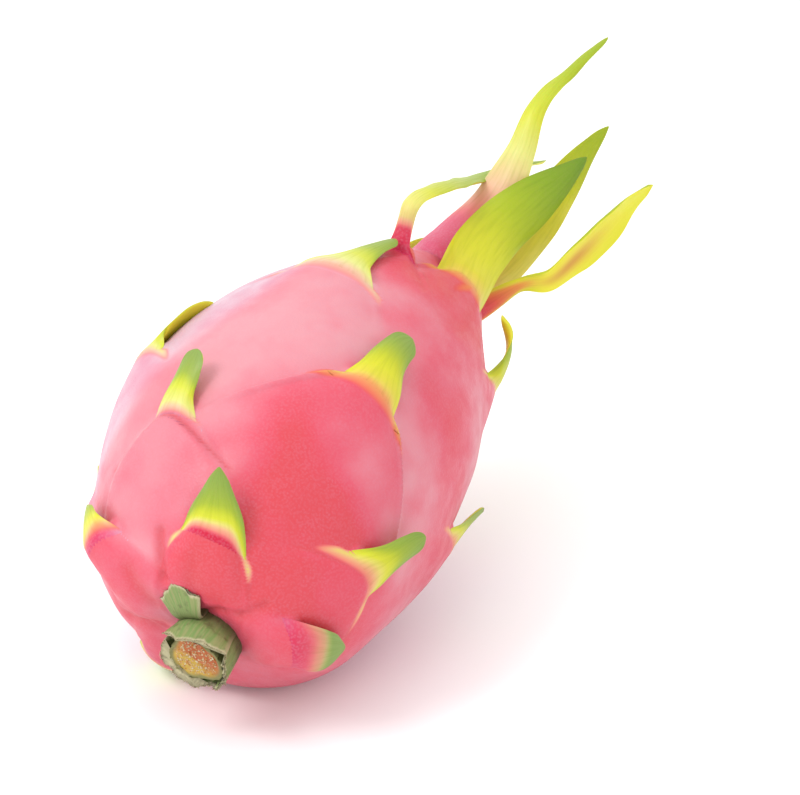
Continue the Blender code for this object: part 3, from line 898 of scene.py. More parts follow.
@dataclass
class BodyPiece:
    """The fruit's body: skin with its mounds, ridges and folds, resting on a flat spot."""

    form: FruitForm
    relief: Relief
    around: int = 320
    rings: int = 290
    pole_gap: float = 0.0006

    def build(self) -> bpy.types.Object:
        """Make the body's mesh.

        Returns:
            The new piece.
        """
        reach = self.form.arc(np.float64(1.0))
        s = self.form.s_at(np.linspace(self.pole_gap, reach - self.pole_gap, self.rings))[:, None]
        theta = np.linspace(0.0, 2.0 * math.pi, self.around, endpoint=False)[None, :]
        s, theta = np.broadcast_arrays(s, theta)
        inside = np.clip(s, 0.004, 0.996)
        outward = self.form.axes(inside, theta)[1]
        points = self.form.skin_point(s, theta) + outward * self.relief.height(s, theta)[..., None]
        points = self.form.set_down(points)
        points[..., 2] = np.maximum(points[..., 2], 0.0)
        return closed_loft("body_skin", points, self.relief.paint(s, theta))


@dataclass
class Bract:
    """One fleshy scale, from inside the mound that it grows on to its tip.

    Sunk, raised and the heights of the waves are in millimetres, and other lengths are in metres.
    """

    growth: Growth
    form: FruitForm
    relief: Relief
    rows: int = 70
    columns: int = 25
    overlap: float = 0.0035
    joined: float = 0.0045
    tip_half_width: float = 0.00012
    tip_round: float = 0.0035
    clinging: float = 1.2
    root_share: float = 0.95
    tip_share: float = 0.45
    evenness: float = 0.30
    sunk: float = 0.09
    raised: float = 0.13
    rising: tuple = (-0.0025, 0.0004)
    waves: tuple = ((0.25, 0.0041), (0.20, 0.0023))
    margin_power: float = 2.4
    turned_part: tuple = (0.20, 0.32)
    stain_place: float = 0.46
    stain_length: float = 0.20
    stain_width: float = 0.5

    @cached_property
    def axes(self) -> Array:
        """Directions ahead, out and across at the root."""
        return np.stack(self.form.axes(np.float64(self.growth.s), np.float64(self.turn)))

    @property
    def turn(self) -> float:
        """Angle of the root round the fruit's axis."""
        return math.radians(self.growth.theta)

    @cached_property
    def knots(self) -> Array:
        """Way points of the middle line from the root, as ahead, out and across."""
        return np.array(((0.0, self.growth.height, 0.0),) + self.growth.path) * MM

    @cached_property
    def line_length(self) -> float:
        """Length of the middle line from the root to the tip."""
        points = bend_through(self.knots, np.linspace(0.0, 1.0, 60))
        return float(np.linalg.norm(np.diff(points, axis=0), axis=1).sum())

    def steps(self) -> Array:
        """Lay out places along the scale, closer together at its root and its tip.

        Returns:
            Shares of the middle line, from just inside the mound to 1 at the tip.
        """
        even = np.linspace(0.0, 1.0, self.rows)
        eased = 0.5 - 0.5 * np.cos(math.pi * even)
        start = -self.overlap / self.line_length
        return start + (1.0 - start) * (self.evenness * even + (1.0 - self.evenness) * eased)

    def local_line(self, t: Array) -> Array:
        """Read the middle line.

        Args:
            t: Places along the scale.

        Returns:
            Points as ahead, out and across from the bare skin at the root.
        """
        line = bend_through(self.knots, np.maximum(t, 0.0))
        line[:, 0] += np.minimum(t, 0.0) * self.line_length
        return line

    def half_widths(self, t: Array) -> Array:
        """Find half the width of the scale along its length, rounded off at the tip.

        Args:
            t: Places along the scale.

        Returns:
            Half widths in metres.
        """
        growth = self.growth
        behind = -np.minimum(t, 0.0) * self.line_length * growth.flare
        shares = through((self.root_share,) + growth.widths, t)
        left = np.clip((1.0 - t) * self.line_length / self.tip_round, 0.0, 1.0)
        rounding = np.sqrt(left * (2.0 - left))
        return np.maximum(growth.half_width * MM * shares * rounding + behind, self.tip_half_width)

    def skin_face(self, ahead: Array, across: Array, lift: Array) -> Array:
        """Face of the mound, run on past the root, that the scale starts as.

        Args:
            ahead: Distance ahead of the root for each row.
            across: Distance across for each row and column.
            lift: Distance above the mound for each row.

        Returns:
            Points in the fruit's own axes.
        """
        s = self.form.s_at(self.form.arc(np.float64(self.growth.s)) + ahead)[:, None]
        theta = self.turn + across / self.form.ring_radius(s)
        s = np.broadcast_to(s, theta.shape)
        out = self.form.axes(s, theta)[1]
        height = self.relief.height(s, theta, self.growth.name) + lift[:, None]
        return self.form.skin_point(s, theta) + out * height[..., None]

    def blade_face(self, t: Array, c: Array, local: Array) -> tuple[Array, Array]:
        """Free blade of the scale.

        Args:
            t: Places along the scale.
            c: Places across it, -1 to 1.
            local: Middle line as ahead, out and across.

        Returns:
            Points in the fruit's own axes, and the direction away from the inner face for each row.
        """
        root = self.form.skin_point(np.float64(self.growth.s), np.float64(self.turn))
        line = root + local @ self.axes
        heading = unit(np.gradient(line, axis=0))
        side = unit(self.axes[2] - heading * (heading @ self.axes[2])[:, None])
        up = np.cross(side, heading)
        twist = np.radians(self.growth.twist) * np.maximum(t, 0.0)[:, None]
        side, up = side * np.cos(twist) + up * np.sin(twist), up * np.cos(twist) - side * np.sin(twist)
        fold = np.radians(through(self.growth.fold, np.maximum(t, 0.0))) / 2.0
        bend = np.where(np.abs(fold) < 1e-3, 1e-3, fold)
        radius = self.half_widths(t) / np.sin(np.minimum(np.abs(bend), math.pi / 2)) * np.sign(bend)
        angles = c[None, :] * np.abs(bend)[:, None]
        sideways = (np.abs(radius)[:, None] * np.sin(angles))[..., None] * side[:, None, :]
        inward = (radius[:, None] * (1.0 - np.cos(angles)))[..., None] * up[:, None, :]
        return line[:, None, :] + sideways - inward, up

    def build(self) -> bpy.types.Object:
        """Make the scale's mesh.

        Returns:
            The new piece.
        """
        growth = self.growth
        t = self.steps()
        c = -np.cos(np.linspace(0.0, math.pi, self.columns))
        local = self.local_line(t)
        blade, up = self.blade_face(t, c, local)
        distance = self.distances(t, local)
        free = smooth(distance, 0.0, self.joined)
        leaving = smooth(distance[:, None] / (1.0 + self.clinging * c[None, :] ** 4), 0.0, self.joined)
        lift = (self.raised * smooth(distance, *self.rising) - self.sunk) * MM
        across = c[None, :] * self.half_widths(t)[:, None]
        skin = self.skin_face(local[:, 0], across, lift)
        outer = skin + (blade - skin) * leaving[..., None]
        flutter = self.flutter(distance) * free * smooth(1.0 - t, 0.0, 0.10)
        outer = outer + flutter[:, None, None] * up[:, None, :] * (c ** 4)[None, :, None]
        normal = unit(np.cross(np.gradient(outer, axis=1), np.gradient(outer, axis=0)))
        facing = np.sign((normal[:, self.columns // 2] * up).sum(axis=-1))
        normal = normal * facing[:, None, None]
        share = 1.0 - (1.0 - self.tip_share) * np.clip(t, 0.0, 1.0)
        plump = np.sqrt(np.clip(1.0 - np.abs(c) ** self.margin_power, 0.0, 1.0))
        depth = np.minimum(growth.thickness * MM * share, 1.5 * self.half_widths(t))
        inner = outer - normal * (depth[:, None] * plump[None, :])[..., None]
        loop = np.concatenate([outer, inner[:, -2:0:-1]], axis=1)
        points = self.form.set_down(loop)
        points[..., 2] = np.maximum(points[..., 2], 0.0)
        return closed_loft(growth.name + "_leaf", points, self.paint(t, c, local, distance, free))

    def flutter(self, distance: Array) -> Array:
        """Find how far the margins wave up and down.

        Args:
            distance: Distance from the root along the scale.

        Returns:
            Heights in metres.
        """
        (long_height, long_wave), (short_height, short_wave) = self.waves
        slow = long_height * MM * np.sin(distance / long_wave + self.growth.theta)
        return slow + short_height * MM * np.sin(distance / short_wave)

    def distances(self, t: Array, local: Array) -> Array:
        """Measure how far each row is from the root along the scale.

        Args:
            t: Places along the scale.
            local: Middle line as ahead, out and across.

        Returns:
            Distances in metres, negative inside the mound.
        """
        steps = np.linalg.norm(np.diff(local, axis=0), axis=1)
        run = np.concatenate([[0.0], np.cumsum(steps)])
        return run - np.interp(0.0, t, run)

    def paint(self, t: Array, c: Array, local: Array, distance: Array, free: Array) -> Paint:
        """Paint the outer and the inner face.

        Args:
            t: Places along the scale.
            c: Places across the outer face, -1 to 1.
            local: Middle line as ahead, out and across.
            distance: Distance from the root along the scale.
            free: How far each row has left the mound, 0 to 1.

        Returns:
            Painted values by name, for the whole loop of each row.
        """
        growth = self.growth
        around = np.concatenate([c, c[-2:0:-1]])
        ahead = distance[:, None]
        edge = np.broadcast_to(np.abs(around)[None, :], (len(t), len(around)))
        leaf = growth.leaf(ahead, edge)
        s = self.form.s_at(self.form.arc(np.float64(growth.s)) + local[:, 0])[:, None]
        theta = self.turn + around[None, :] * self.half_widths(t)[:, None] / self.form.ring_radius(s)
        skin = self.relief.paint(np.broadcast_to(s, theta.shape), theta)
        blush = skin["blush"] + (growth.blush - skin["blush"]) * free[:, None]
        inner = np.zeros_like(leaf)
        inner[:, len(c):] = 1.0
        if growth.turned:
            inner = (1.0 - inner) * smooth(t, *self.turned_part)[:, None]
        stain_along = np.exp(-((t - self.stain_place) / self.stain_length)[:, None] ** 2)
        stain = growth.stain * stain_along * np.exp(-(around / self.stain_width) ** 2)[None]
        # crease carries painted shade where the mound folds in under the scale.
        crease = np.zeros_like(leaf)
        if growth.pouch:
            past = ahead - self.relief.pouch_line(growth, edge)
            crease = np.exp(-np.abs(past) / self.relief.pouch_shade)
        along = np.broadcast_to(distance[:, None], leaf.shape)
        across = np.broadcast_to(around[None, :], leaf.shape)
        warm = np.full_like(leaf, growth.warm)
        moss = np.full_like(leaf, growth.moss)
        return {"leaf": leaf, "warm": warm, "moss": moss, "blush": blush, "crease": crease, "inner": inner,
                "stain": stain, "along": along, "across": across}


# ---------------------------------------------------------------------------------------------
# Stem
# ---------------------------------------------------------------------------------------------

def round_stem(form: FruitForm, out: Array, radius: Array, angle: Array) -> Array:
    """Find places round the stem's own line.

    Args:
        form: Shape of the bare fruit.
        out: Distance from the hollow's floor away from the fruit.
        radius: Distance from the stem's line.
        angle: Angle round it, 0 on top, in radians.

    Returns:
        Places where the fruit lies on the floor.
    """
    out, radius, angle = np.broadcast_arrays(out, radius, angle)
    foot = form.stem_foot
    y = foot[1] - radius * np.sin(angle)
    z = foot[2] + radius * np.cos(angle)
    return form.set_down(np.stack([foot[0] - out, y, z], axis=-1))


@dataclass
class CutStem:
    """The cut end of the stem: a fibrous rind round a moist, uneven core."""

    form: FruitForm
    radius: float = 0.0070
    neck: float = 0.0060
    proud: float = 0.0045
    root: float = 0.0040
    lip: float = 0.0005
    dome: float = 0.0007
    sunk: float = 0.0006
    lump: float = 0.00028
    around: int = 120
    side_rings: int = 26
    face_shares: tuple = (0.985, 0.96, 0.92, 0.87, 0.80, 0.72, 0.62, 0.52, 0.41, 0.30, 0.19, 0.09)

    @property
    def end(self) -> float:
        """Distance of the cut face from the hollow's floor."""
        return self.form.dimple_depth + self.proud

    def outline(self, angle: Array) -> Array:
        """Share of the radius round the stem, a soft triangle."""
        return 1.0 + 0.10 * np.cos(3.0 * angle + 0.5) + 0.035 * np.cos(5.0 * angle + 1.0)

    def face(self, shares: Array, angle: Array) -> Array:
        """Lay out places of the cut face, with its raised rind and its lumps.

        Args:
            shares: Shares of the stem's radius.
            angle: Angles round the stem, in radians.

        Returns:
            Points where the fruit lies on the floor.
        """
        lip = self.lip * smooth(shares, 0.80, 0.93)
        dome = self.dome * (1.0 - shares ** 2) - self.sunk
        lumps = self.lump * np.cos(5.0 * angle + 14.0 * shares) * np.sin(11.0 * shares + 2.0 * angle)
        out = self.end + lip + dome + lumps * smooth(shares, 0.05, 0.3)
        return round_stem(self.form, out, shares * self.radius * self.outline(angle), angle)

    def build(self) -> bpy.types.Object:
        """Make the stem's mesh.

        Returns:
            The new piece.
        """
        angle = np.linspace(0.0, 2.0 * math.pi, self.around, endpoint=False)[None, :]
        run = np.linspace(0.0, 1.0, self.side_rings)[:, None]
        ripple = 0.00012 * np.cos(17.0 * angle) + 0.00010 * np.cos(29.0 * angle + 9.0 * run)
        side_radius = (self.neck + (self.radius - self.neck) * run) * self.outline(angle) + ripple
        reached = (self.end + self.root) * run
        side = round_stem(self.form, -self.root + reached, side_radius, angle)
        shares = np.array(self.face_shares)[:, None]
        core = np.concatenate([0.0 * run, 1.0 - shares])
        along = np.concatenate([reached, np.full_like(shares, self.end + self.root)])
        paint = {"core": core, "amber": 0.5 + 0.5 * np.cos(angle - 0.6), "along": along,
                 "across": angle * self.radius}
        rings = self.side_rings + len(shares)
        paint = {key: np.broadcast_to(values, (rings, self.around)) for key, values in paint.items()}
        return closed_loft("cut_stem_end", np.concatenate([side, self.face(shares, angle)]), paint)

    def face_patch(self) -> bpy.types.Object:
        """Make a bare sheet over the moist core, for the pulp grains to grow on.

        Returns:
            The sheet.
        """
        angle = np.linspace(0.0, 2.0 * math.pi, 48, endpoint=False)[None, :]
        points = self.face(np.linspace(0.08, 0.78, 9)[:, None], angle)
        rings, around = points.shape[:2]
        faces = []
        for ring in range(rings - 1):
            for step in range(around):
                here, after = ring * around + step, ring * around + (step + 1) % around
                faces.append((here, after, after + around, here + around))
        mesh = bpy.data.meshes.new("core_patch")
        mesh.from_pydata(points.reshape(-1, 3).tolist(), [], faces)
        return stand("core_patch", mesh)


@dataclass
class DriedScale:
    """One leathery scale left round the cut stem, with a ragged, curled margin.

    Theta is the middle of its span round the stem, and the span, theta and lean are in degrees. The
    length, set_out, curl, corner and ripple are in millimetres, and other lengths are in metres. Bend
    says between which shares of the length it leans over.
    """

    name: str
    node: str
    form: FruitForm
    theta: float
    span: float
    length: float
    set_out: float = 0.0
    lean: float = 12.0
    bend: tuple = (0.0, 0.3)
    curl: float = 0.0
    corner: float = 0.0
    narrowing: float = 0.25
    seed: int = 1
    ring: float = 0.0080
    root: float = 0.0035
    thickness: float = 0.0013
    thinning: float = 0.62
    ripple: float = 0.20
    rows: int = 44
    columns: int = 41

    def outer(self) -> tuple[Array, Array, Array]:
        """Lay out the outer face.

        Returns:
            Its points, its places along the scale, 0 to 1 beyond the hollow's floor, and across, -1 to 1.
        """
        v = np.linspace(0.0, 1.0, self.rows)[:, None]
        w = -np.cos(np.linspace(0.0, math.pi, self.columns))[None, :]
        full = self.length * MM + self.form.dimple_depth
        ragged = 0.07 * np.sin(5.0 * w + self.seed) + 0.03 * np.sin(13.0 * w + 2.0 * self.seed)
        ragged = ragged + 0.015 * np.sin(37.0 * w + 3.0 * self.seed)
        reach = full * (1.0 - 0.16 * w ** 2 + ragged * 0.55 - 0.10)
        run = -self.root + (reach + self.root) * v
        free = np.clip(run / full, 0.0, 1.0)
        slope = math.radians(self.lean) * smooth(free, *self.bend)
        steps = np.diff(run, axis=0, prepend=run[:1])
        out = run[:1] + np.cumsum(np.cos(slope) * steps, axis=0)
        half = math.radians(self.span) / 2.0 * (1.0 - self.narrowing * free ** 2)
        angle = math.radians(self.theta) + w * half
        radius = self.ring + self.set_out * MM + np.cumsum(np.sin(slope) * steps, axis=0)
        radius = radius - self.curl * MM * smooth(free, 0.55, 1.0) * (1.0 - 0.5 * np.abs(w))
        radius = radius + self.corner * MM * np.abs(w) ** 3 * smooth(free, 0.4, 1.0)
        ripple = np.sin(9.0 * w + 5.0 * free + self.seed) + 0.6 * np.sin(21.0 * w - 3.0 * free + self.seed)
        radius = radius + self.ripple * MM * ripple * free
        return round_stem(self.form, out, radius, angle), free, np.broadcast_to(w, free.shape)

    def build(self) -> bpy.types.Object:
        """Make the scale's mesh.

        Returns:
            The new piece.
        """
        outer, free, w = self.outer()
        normal = unit(np.cross(np.gradient(outer, axis=1), np.gradient(outer, axis=0)))
        middle = round_stem(self.form, np.float64(self.form.dimple_depth), np.float64(0.0), np.float64(0.0))
        away = outer[self.rows // 2, self.columns // 2] - middle
        normal = normal * np.sign(normal[self.rows // 2, self.columns // 2] @ away)
        plump = np.sqrt(np.clip(1.0 - np.abs(w) ** 6, 0.0, 1.0))
        depth = self.thickness * (1.0 - self.thinning * free ** 1.5) * plump
        inner = outer - normal * depth[..., None]
        loop = np.concatenate([outer, inner[:, -2:0:-1]], axis=1)
        loop[..., 2] = np.maximum(loop[..., 2], 0.0)
        around = np.concatenate([w, w[:, -2:0:-1]], axis=1)
        along = np.concatenate([free, free[:, -2:0:-1]], axis=1)
        rim = np.broadcast_to(np.linspace(0.0, 1.0, self.rows)[:, None], along.shape)
        return closed_loft(self.name, loop, {"free": along, "across": around, "rim": rim})

    def margin(self) -> bpy.types.Object:
        """Make a bare line along the free margin, for the frayed fibres to grow on.

        Returns:
            The line.
        """
        line = self.outer()[0][-1, 2:-2]
        mesh = bpy.data.meshes.new(self.name + "_margin")
        mesh.from_pydata(line.tolist(), [(i, i + 1) for i in range(len(line) - 1)], [])
        return stand(self.name + "_margin", mesh)


# ---------------------------------------------------------------------------------------------
# Node helpers
# ---------------------------------------------------------------------------------------------

class Wiring:
    """Short ways to add nodes to one tree and join them."""

    def __init__(self, tree: bpy.types.NodeTree) -> None:
        """Keep the tree that nodes are added to."""
        self.tree = tree

    def node(self, kind: str, inputs: dict | None = None, **settings: object) -> bpy.types.Node:
        """Add a node.

        Args:
            kind: Type name of the node.
            inputs: Values or sockets for its inputs, by name or number.
            settings: Properties of the node.

        Returns:
            The new node.
        """
        made = self.tree.nodes.new(kind)
        for key, value in settings.items():
            setattr(made, key, value)
        for key, value in (inputs or {}).items():
            self.feed(made.inputs[key], value)
        return made

    def feed(self, socket: bpy.types.NodeSocket, value: object) -> None:
        """Link a socket, or set a plain value, into an input.

        Args:
            socket: The input.
            value: Socket or plain value for it.
        """
        if isinstance(value, bpy.types.NodeSocket):
            self.tree.links.new(value, socket)
        else:
            socket.default_value = value

    def attribute(self, name: str) -> bpy.types.NodeSocket:
        """Read a painted value."""
        return self.node("ShaderNodeAttribute", attribute_name=name).outputs["Fac"]

    def place(self) -> bpy.types.NodeSocket:
        """Read the place in the piece's own space."""
        return self.node("ShaderNodeTexCoord").outputs["Object"]

    def sheet(self, across: object, along: object) -> bpy.types.NodeSocket:
        """Join a place across and a place along a piece to one vector."""
        return self.node("ShaderNodeCombineXYZ", {0: across, 1: along}).outputs[0]

    def math(self, operation: str, a: object, b: object = 0.5, clamp: bool = False) -> bpy.types.NodeSocket:
        """Add a Math node and give its result."""
        return self.node("ShaderNodeMath", {0: a, 1: b}, operation=operation, use_clamp=clamp).outputs[0]

    def times(self, a: object, b: object) -> bpy.types.NodeSocket:
        """Multiply two values."""
        return self.math("MULTIPLY", a, b)

    def span(self, value: object, low: float, high: float, to_low: float = 0.0,
             to_high: float = 1.0) -> bpy.types.NodeSocket:
        """Map a value smoothly from one range to another.

        Args:
            value: The value.
            low: Value that gives to_low.
            high: Value that gives to_high.
            to_low: Result at the low end.
            to_high: Result at the high end.

        Returns:
            The mapped value.
        """
        inputs = {"Value": value, "From Min": low, "From Max": high, "To Min": to_low, "To Max": to_high}
        return self.node("ShaderNodeMapRange", inputs, interpolation_type="SMOOTHSTEP").outputs["Result"]

    def blend(self, share: object, a: object, b: object, mode: str = "MIX") -> bpy.types.NodeSocket:
        """Mix two colours.

        Args:
            share: Share of the second colour.
            a: First colour.
            b: Second colour.
            mode: How they mix.

        Returns:
            The mixed colour.
        """
        made = self.node("ShaderNodeMix", data_type="RGBA", blend_type=mode)
        for index, value in ((0, share), (6, a), (7, b)):
            self.feed(made.inputs[index], value)
        return made.outputs[2]

    def ramp(self, share: object, stops: Stops) -> bpy.types.NodeSocket:
        """Read a colour ramp.

        Args:
            share: Where to read it, 0 to 1.
            stops: Pairs of a place and a colour.

        Returns:
            The colour.
        """
        made = self.node("ShaderNodeValToRGB", {"Fac": share})
        elements = made.color_ramp.elements
        while len(elements) < len(stops):
            elements.new(0.5)
        for element, (place, colour) in zip(elements, stops):
            element.position = place
            element.color = colour
        return made.outputs["Color"]

    def noise(self, vector: object, scale: float, detail: float = 2.0) -> bpy.types.NodeSocket:
        """Read noise over a vector.

        Args:
            vector: Where to read it.
            scale: Waves in one unit of the vector, which is a metre for a place.
            detail: How many finer layers it has.

        Returns:
            Values round 0.5.
        """
        inputs = {"Vector": vector, "Scale": scale, "Detail": detail, "Roughness": 0.55}
        return self.node("ShaderNodeTexNoise", inputs).outputs["Fac"]

    def bump(self, height: object, strength: float, distance: float) -> bpy.types.NodeSocket:
        """Turn a height into a normal.

        Args:
            height: The height, 0 to about 1.
            strength: How strongly it shows.
            distance: Height of 1, in metres.

        Returns:
            The normal.
        """
        inputs = {"Height": height, "Strength": strength, "Distance": distance}
        return self.node("ShaderNodeBump", inputs).outputs["Normal"]

    def group(self, tree: bpy.types.NodeTree, inputs: dict) -> bpy.types.NodeOutputs:
        """Use a node group.

        Args:
            tree: The group.
            inputs: Values or sockets for its inputs, by name.

        Returns:
            Its outputs.
        """
        made = self.node("ShaderNodeGroup", node_tree=tree)
        for key, value in inputs.items():
            self.feed(made.inputs[key], value)
        return made.outputs

    def dress(self, colour: object, rough: object, normal: object = None) -> bpy.types.Node:
        """Feed the material's own shader.

        Args:
            colour: Base colour.
            rough: Roughness.
            normal: Normal, if the surface has a bump.

        Returns:
            The shader.
        """
        shader = self.tree.nodes["Principled BSDF"]
        self.feed(shader.inputs["Base Color"], colour)
        self.feed(shader.inputs["Roughness"], rough)
        if normal is not None:
            self.feed(shader.inputs["Normal"], normal)
        return shader


def new_material(name: str) -> tuple[bpy.types.Material, Wiring]:
    """Start a material.

    Args:
        name: Name of the material.

    Returns:
        The material and the wiring of its tree.
    """
    material = bpy.data.materials.new(name)
    material.use_nodes = True
    return material, Wiring(material.node_tree)


def shader_group(name: str, inputs: dict, outputs: dict) -> tuple[bpy.types.NodeTree, Wiring, dict, dict]:
    """Start a shader node group.

    Args:
        name: Name of the group.
        inputs: Socket type and default of each input, by name.
        outputs: Socket type of each output, by name.

    Returns:
        The group, its wiring, its input sockets and its output sockets, by name.
    """
    tree = bpy.data.node_groups.new(name, "ShaderNodeTree")
    for key, (kind, default) in inputs.items():
        tree.interface.new_socket(key, in_out="INPUT", socket_type=kind).default_value = default
    for key, kind in outputs.items():
        tree.interface.new_socket(key, in_out="OUTPUT", socket_type=kind)
    wiring = Wiring(tree)
    start = wiring.node("NodeGroupInput").outputs
    end = wiring.node("NodeGroupOutput").inputs
    return tree, wiring, {key: start[key] for key in inputs}, {key: end[key] for key in outputs}


# ---------------------------------------------------------------------------------------------
# Finishes
# ---------------------------------------------------------------------------------------------

@dataclass(frozen=True)
class RipenessColours:
    """Colours from the skin's red to a deep green, one way over cream and one over orange."""

    cool: Stops = ((0.0, leafy(252, 122, 146)), (0.14, leafy(251, 142, 146)), (0.34, leafy(251, 208, 170)),
                   (0.48, leafy(240, 242, 140)), (0.62, leafy(226, 232, 60)), (0.78, leafy(184, 204, 16)),
                   (0.90, leafy(148, 180, 10)), (1.0, leafy(104, 150, 20)))
    hot: Stops = ((0.0, leafy(248, 66, 84)), (0.14, leafy(248, 84, 70)), (0.34, leafy(252, 160, 60)),
                  (0.48, leafy(248, 214, 60)), (0.62, leafy(236, 232, 24)), (0.78, leafy(188, 204, 10)),
                  (0.90, leafy(148, 180, 8)), (1.0, leafy(104, 150, 20)))
    mossy: Colour = leafy(144, 172, 86)

    def group(self) -> bpy.types.NodeTree:
        """Build the group that turns painted values into a colour and how much of it shows.

        Returns:
            The group.
        """
        tree, w, given, result = shader_group(
            "ripeness_colour", {"Leaf": (NUMBER, 0.0), "Warm": (NUMBER, 0.0), "Moss": (NUMBER, 0.0)},
            {"Colour": COLOUR, "Share": NUMBER})
        leaf, moss = given["Leaf"], given["Moss"]
        colour = w.blend(given["Warm"], w.ramp(leaf, self.cool), w.ramp(leaf, self.hot))
        weathered_tip = w.times(w.span(leaf, 0.66, 0.92), moss)
        weathered_all = w.times(w.span(leaf, 0.05, 0.55), w.span(moss, 0.90, 1.0))
        old = w.math("MAXIMUM", weathered_tip, weathered_all)
        w.feed(result["Colour"], w.blend(old, colour, self.mossy))
        w.feed(result["Share"], w.span(leaf, 0.0, 0.20))
        return tree


@dataclass(frozen=True)
class SkinColours:
    """Colours of ripe skin, from pale pink to coral red, with painted shade for the folds and the
    underside.
    """

    stops: Stops = ((0.0, tint(255, 216, 232)), (0.30, tint(254, 162, 190)), (0.60, tint(252, 88, 136)),
                    (0.85, tint(248, 36, 96)), (1.0, tint(240, 10, 68)))
    # Painted shade in the folds and under the pouches, and how strongly it shows.
    fold: Colour = tint(224, 16, 50)
    crease_shade_share: float = 0.8
    # Painted shade on the underside: a darker magenta that the skin turns next to the floor.
    under: Colour = tint(232, 44, 120)
    underside_shade_share: float = 0.6

    def group(self) -> bpy.types.NodeTree:
        """Build the group that turns blush, painted shade in the folds and painted shade on the underside
        into the skin's colour.

        Returns:
            The group.
        """
        tree, w, given, result = shader_group(
            "skin_colour", {"Blush": (NUMBER, 0.4), "Crease": (NUMBER, 0.0), "UndersideShade": (NUMBER, 0.0)},
            {"Colour": COLOUR})
        colour = w.ramp(given["Blush"], self.stops)
        colour = w.blend(w.times(given["UndersideShade"], self.underside_shade_share), colour, self.under)
        w.feed(result["Colour"], w.blend(w.times(given["Crease"], self.crease_shade_share), colour, self.fold))
        return tree


@dataclass(frozen=True)
class Grain:
    """Fine, uneven grains of a fruit's skin. Lengths are in metres."""

    size: float = 0.00058
    shift: float = 0.0004
    shift_waves: float = 500.0
    patch_waves: float = 160.0

    def group(self) -> bpy.types.NodeTree:
        """Build the group that gives light grains and their height over the piece's own space.

        Returns:
            The group.
        """
        tree, w, given, result = shader_group("skin_grain", {"Strength": (NUMBER, 1.0)},
                                              {"Light": NUMBER, "Height": NUMBER})
        place = w.place()
        bent = w.node("ShaderNodeTexNoise", {"Vector": place, "Scale": self.shift_waves, "Detail": 1.0})
        moved = w.node("ShaderNodeVectorMath", {0: bent.outputs["Color"], 1: (self.shift,) * 3},
                       operation="MULTIPLY")
        spot = w.node("ShaderNodeVectorMath", {0: place, 1: moved.outputs[0]}, operation="ADD")
        cells = w.node("ShaderNodeTexVoronoi", {"Vector": spot.outputs[0], "Scale": 1.0 / self.size},
                       feature="SMOOTH_F1")
        dots = w.span(cells.outputs["Distance"], 0.15, 0.62, 1.0, 0.0)
        patchy = w.span(w.noise(place, self.patch_waves, 2.0), 0.35, 0.70, 0.6, 1.0)
        w.feed(result["Light"], w.times(w.times(dots, patchy), given["Strength"]))
        w.feed(result["Height"], w.times(dots, given["Strength"]))
        return tree


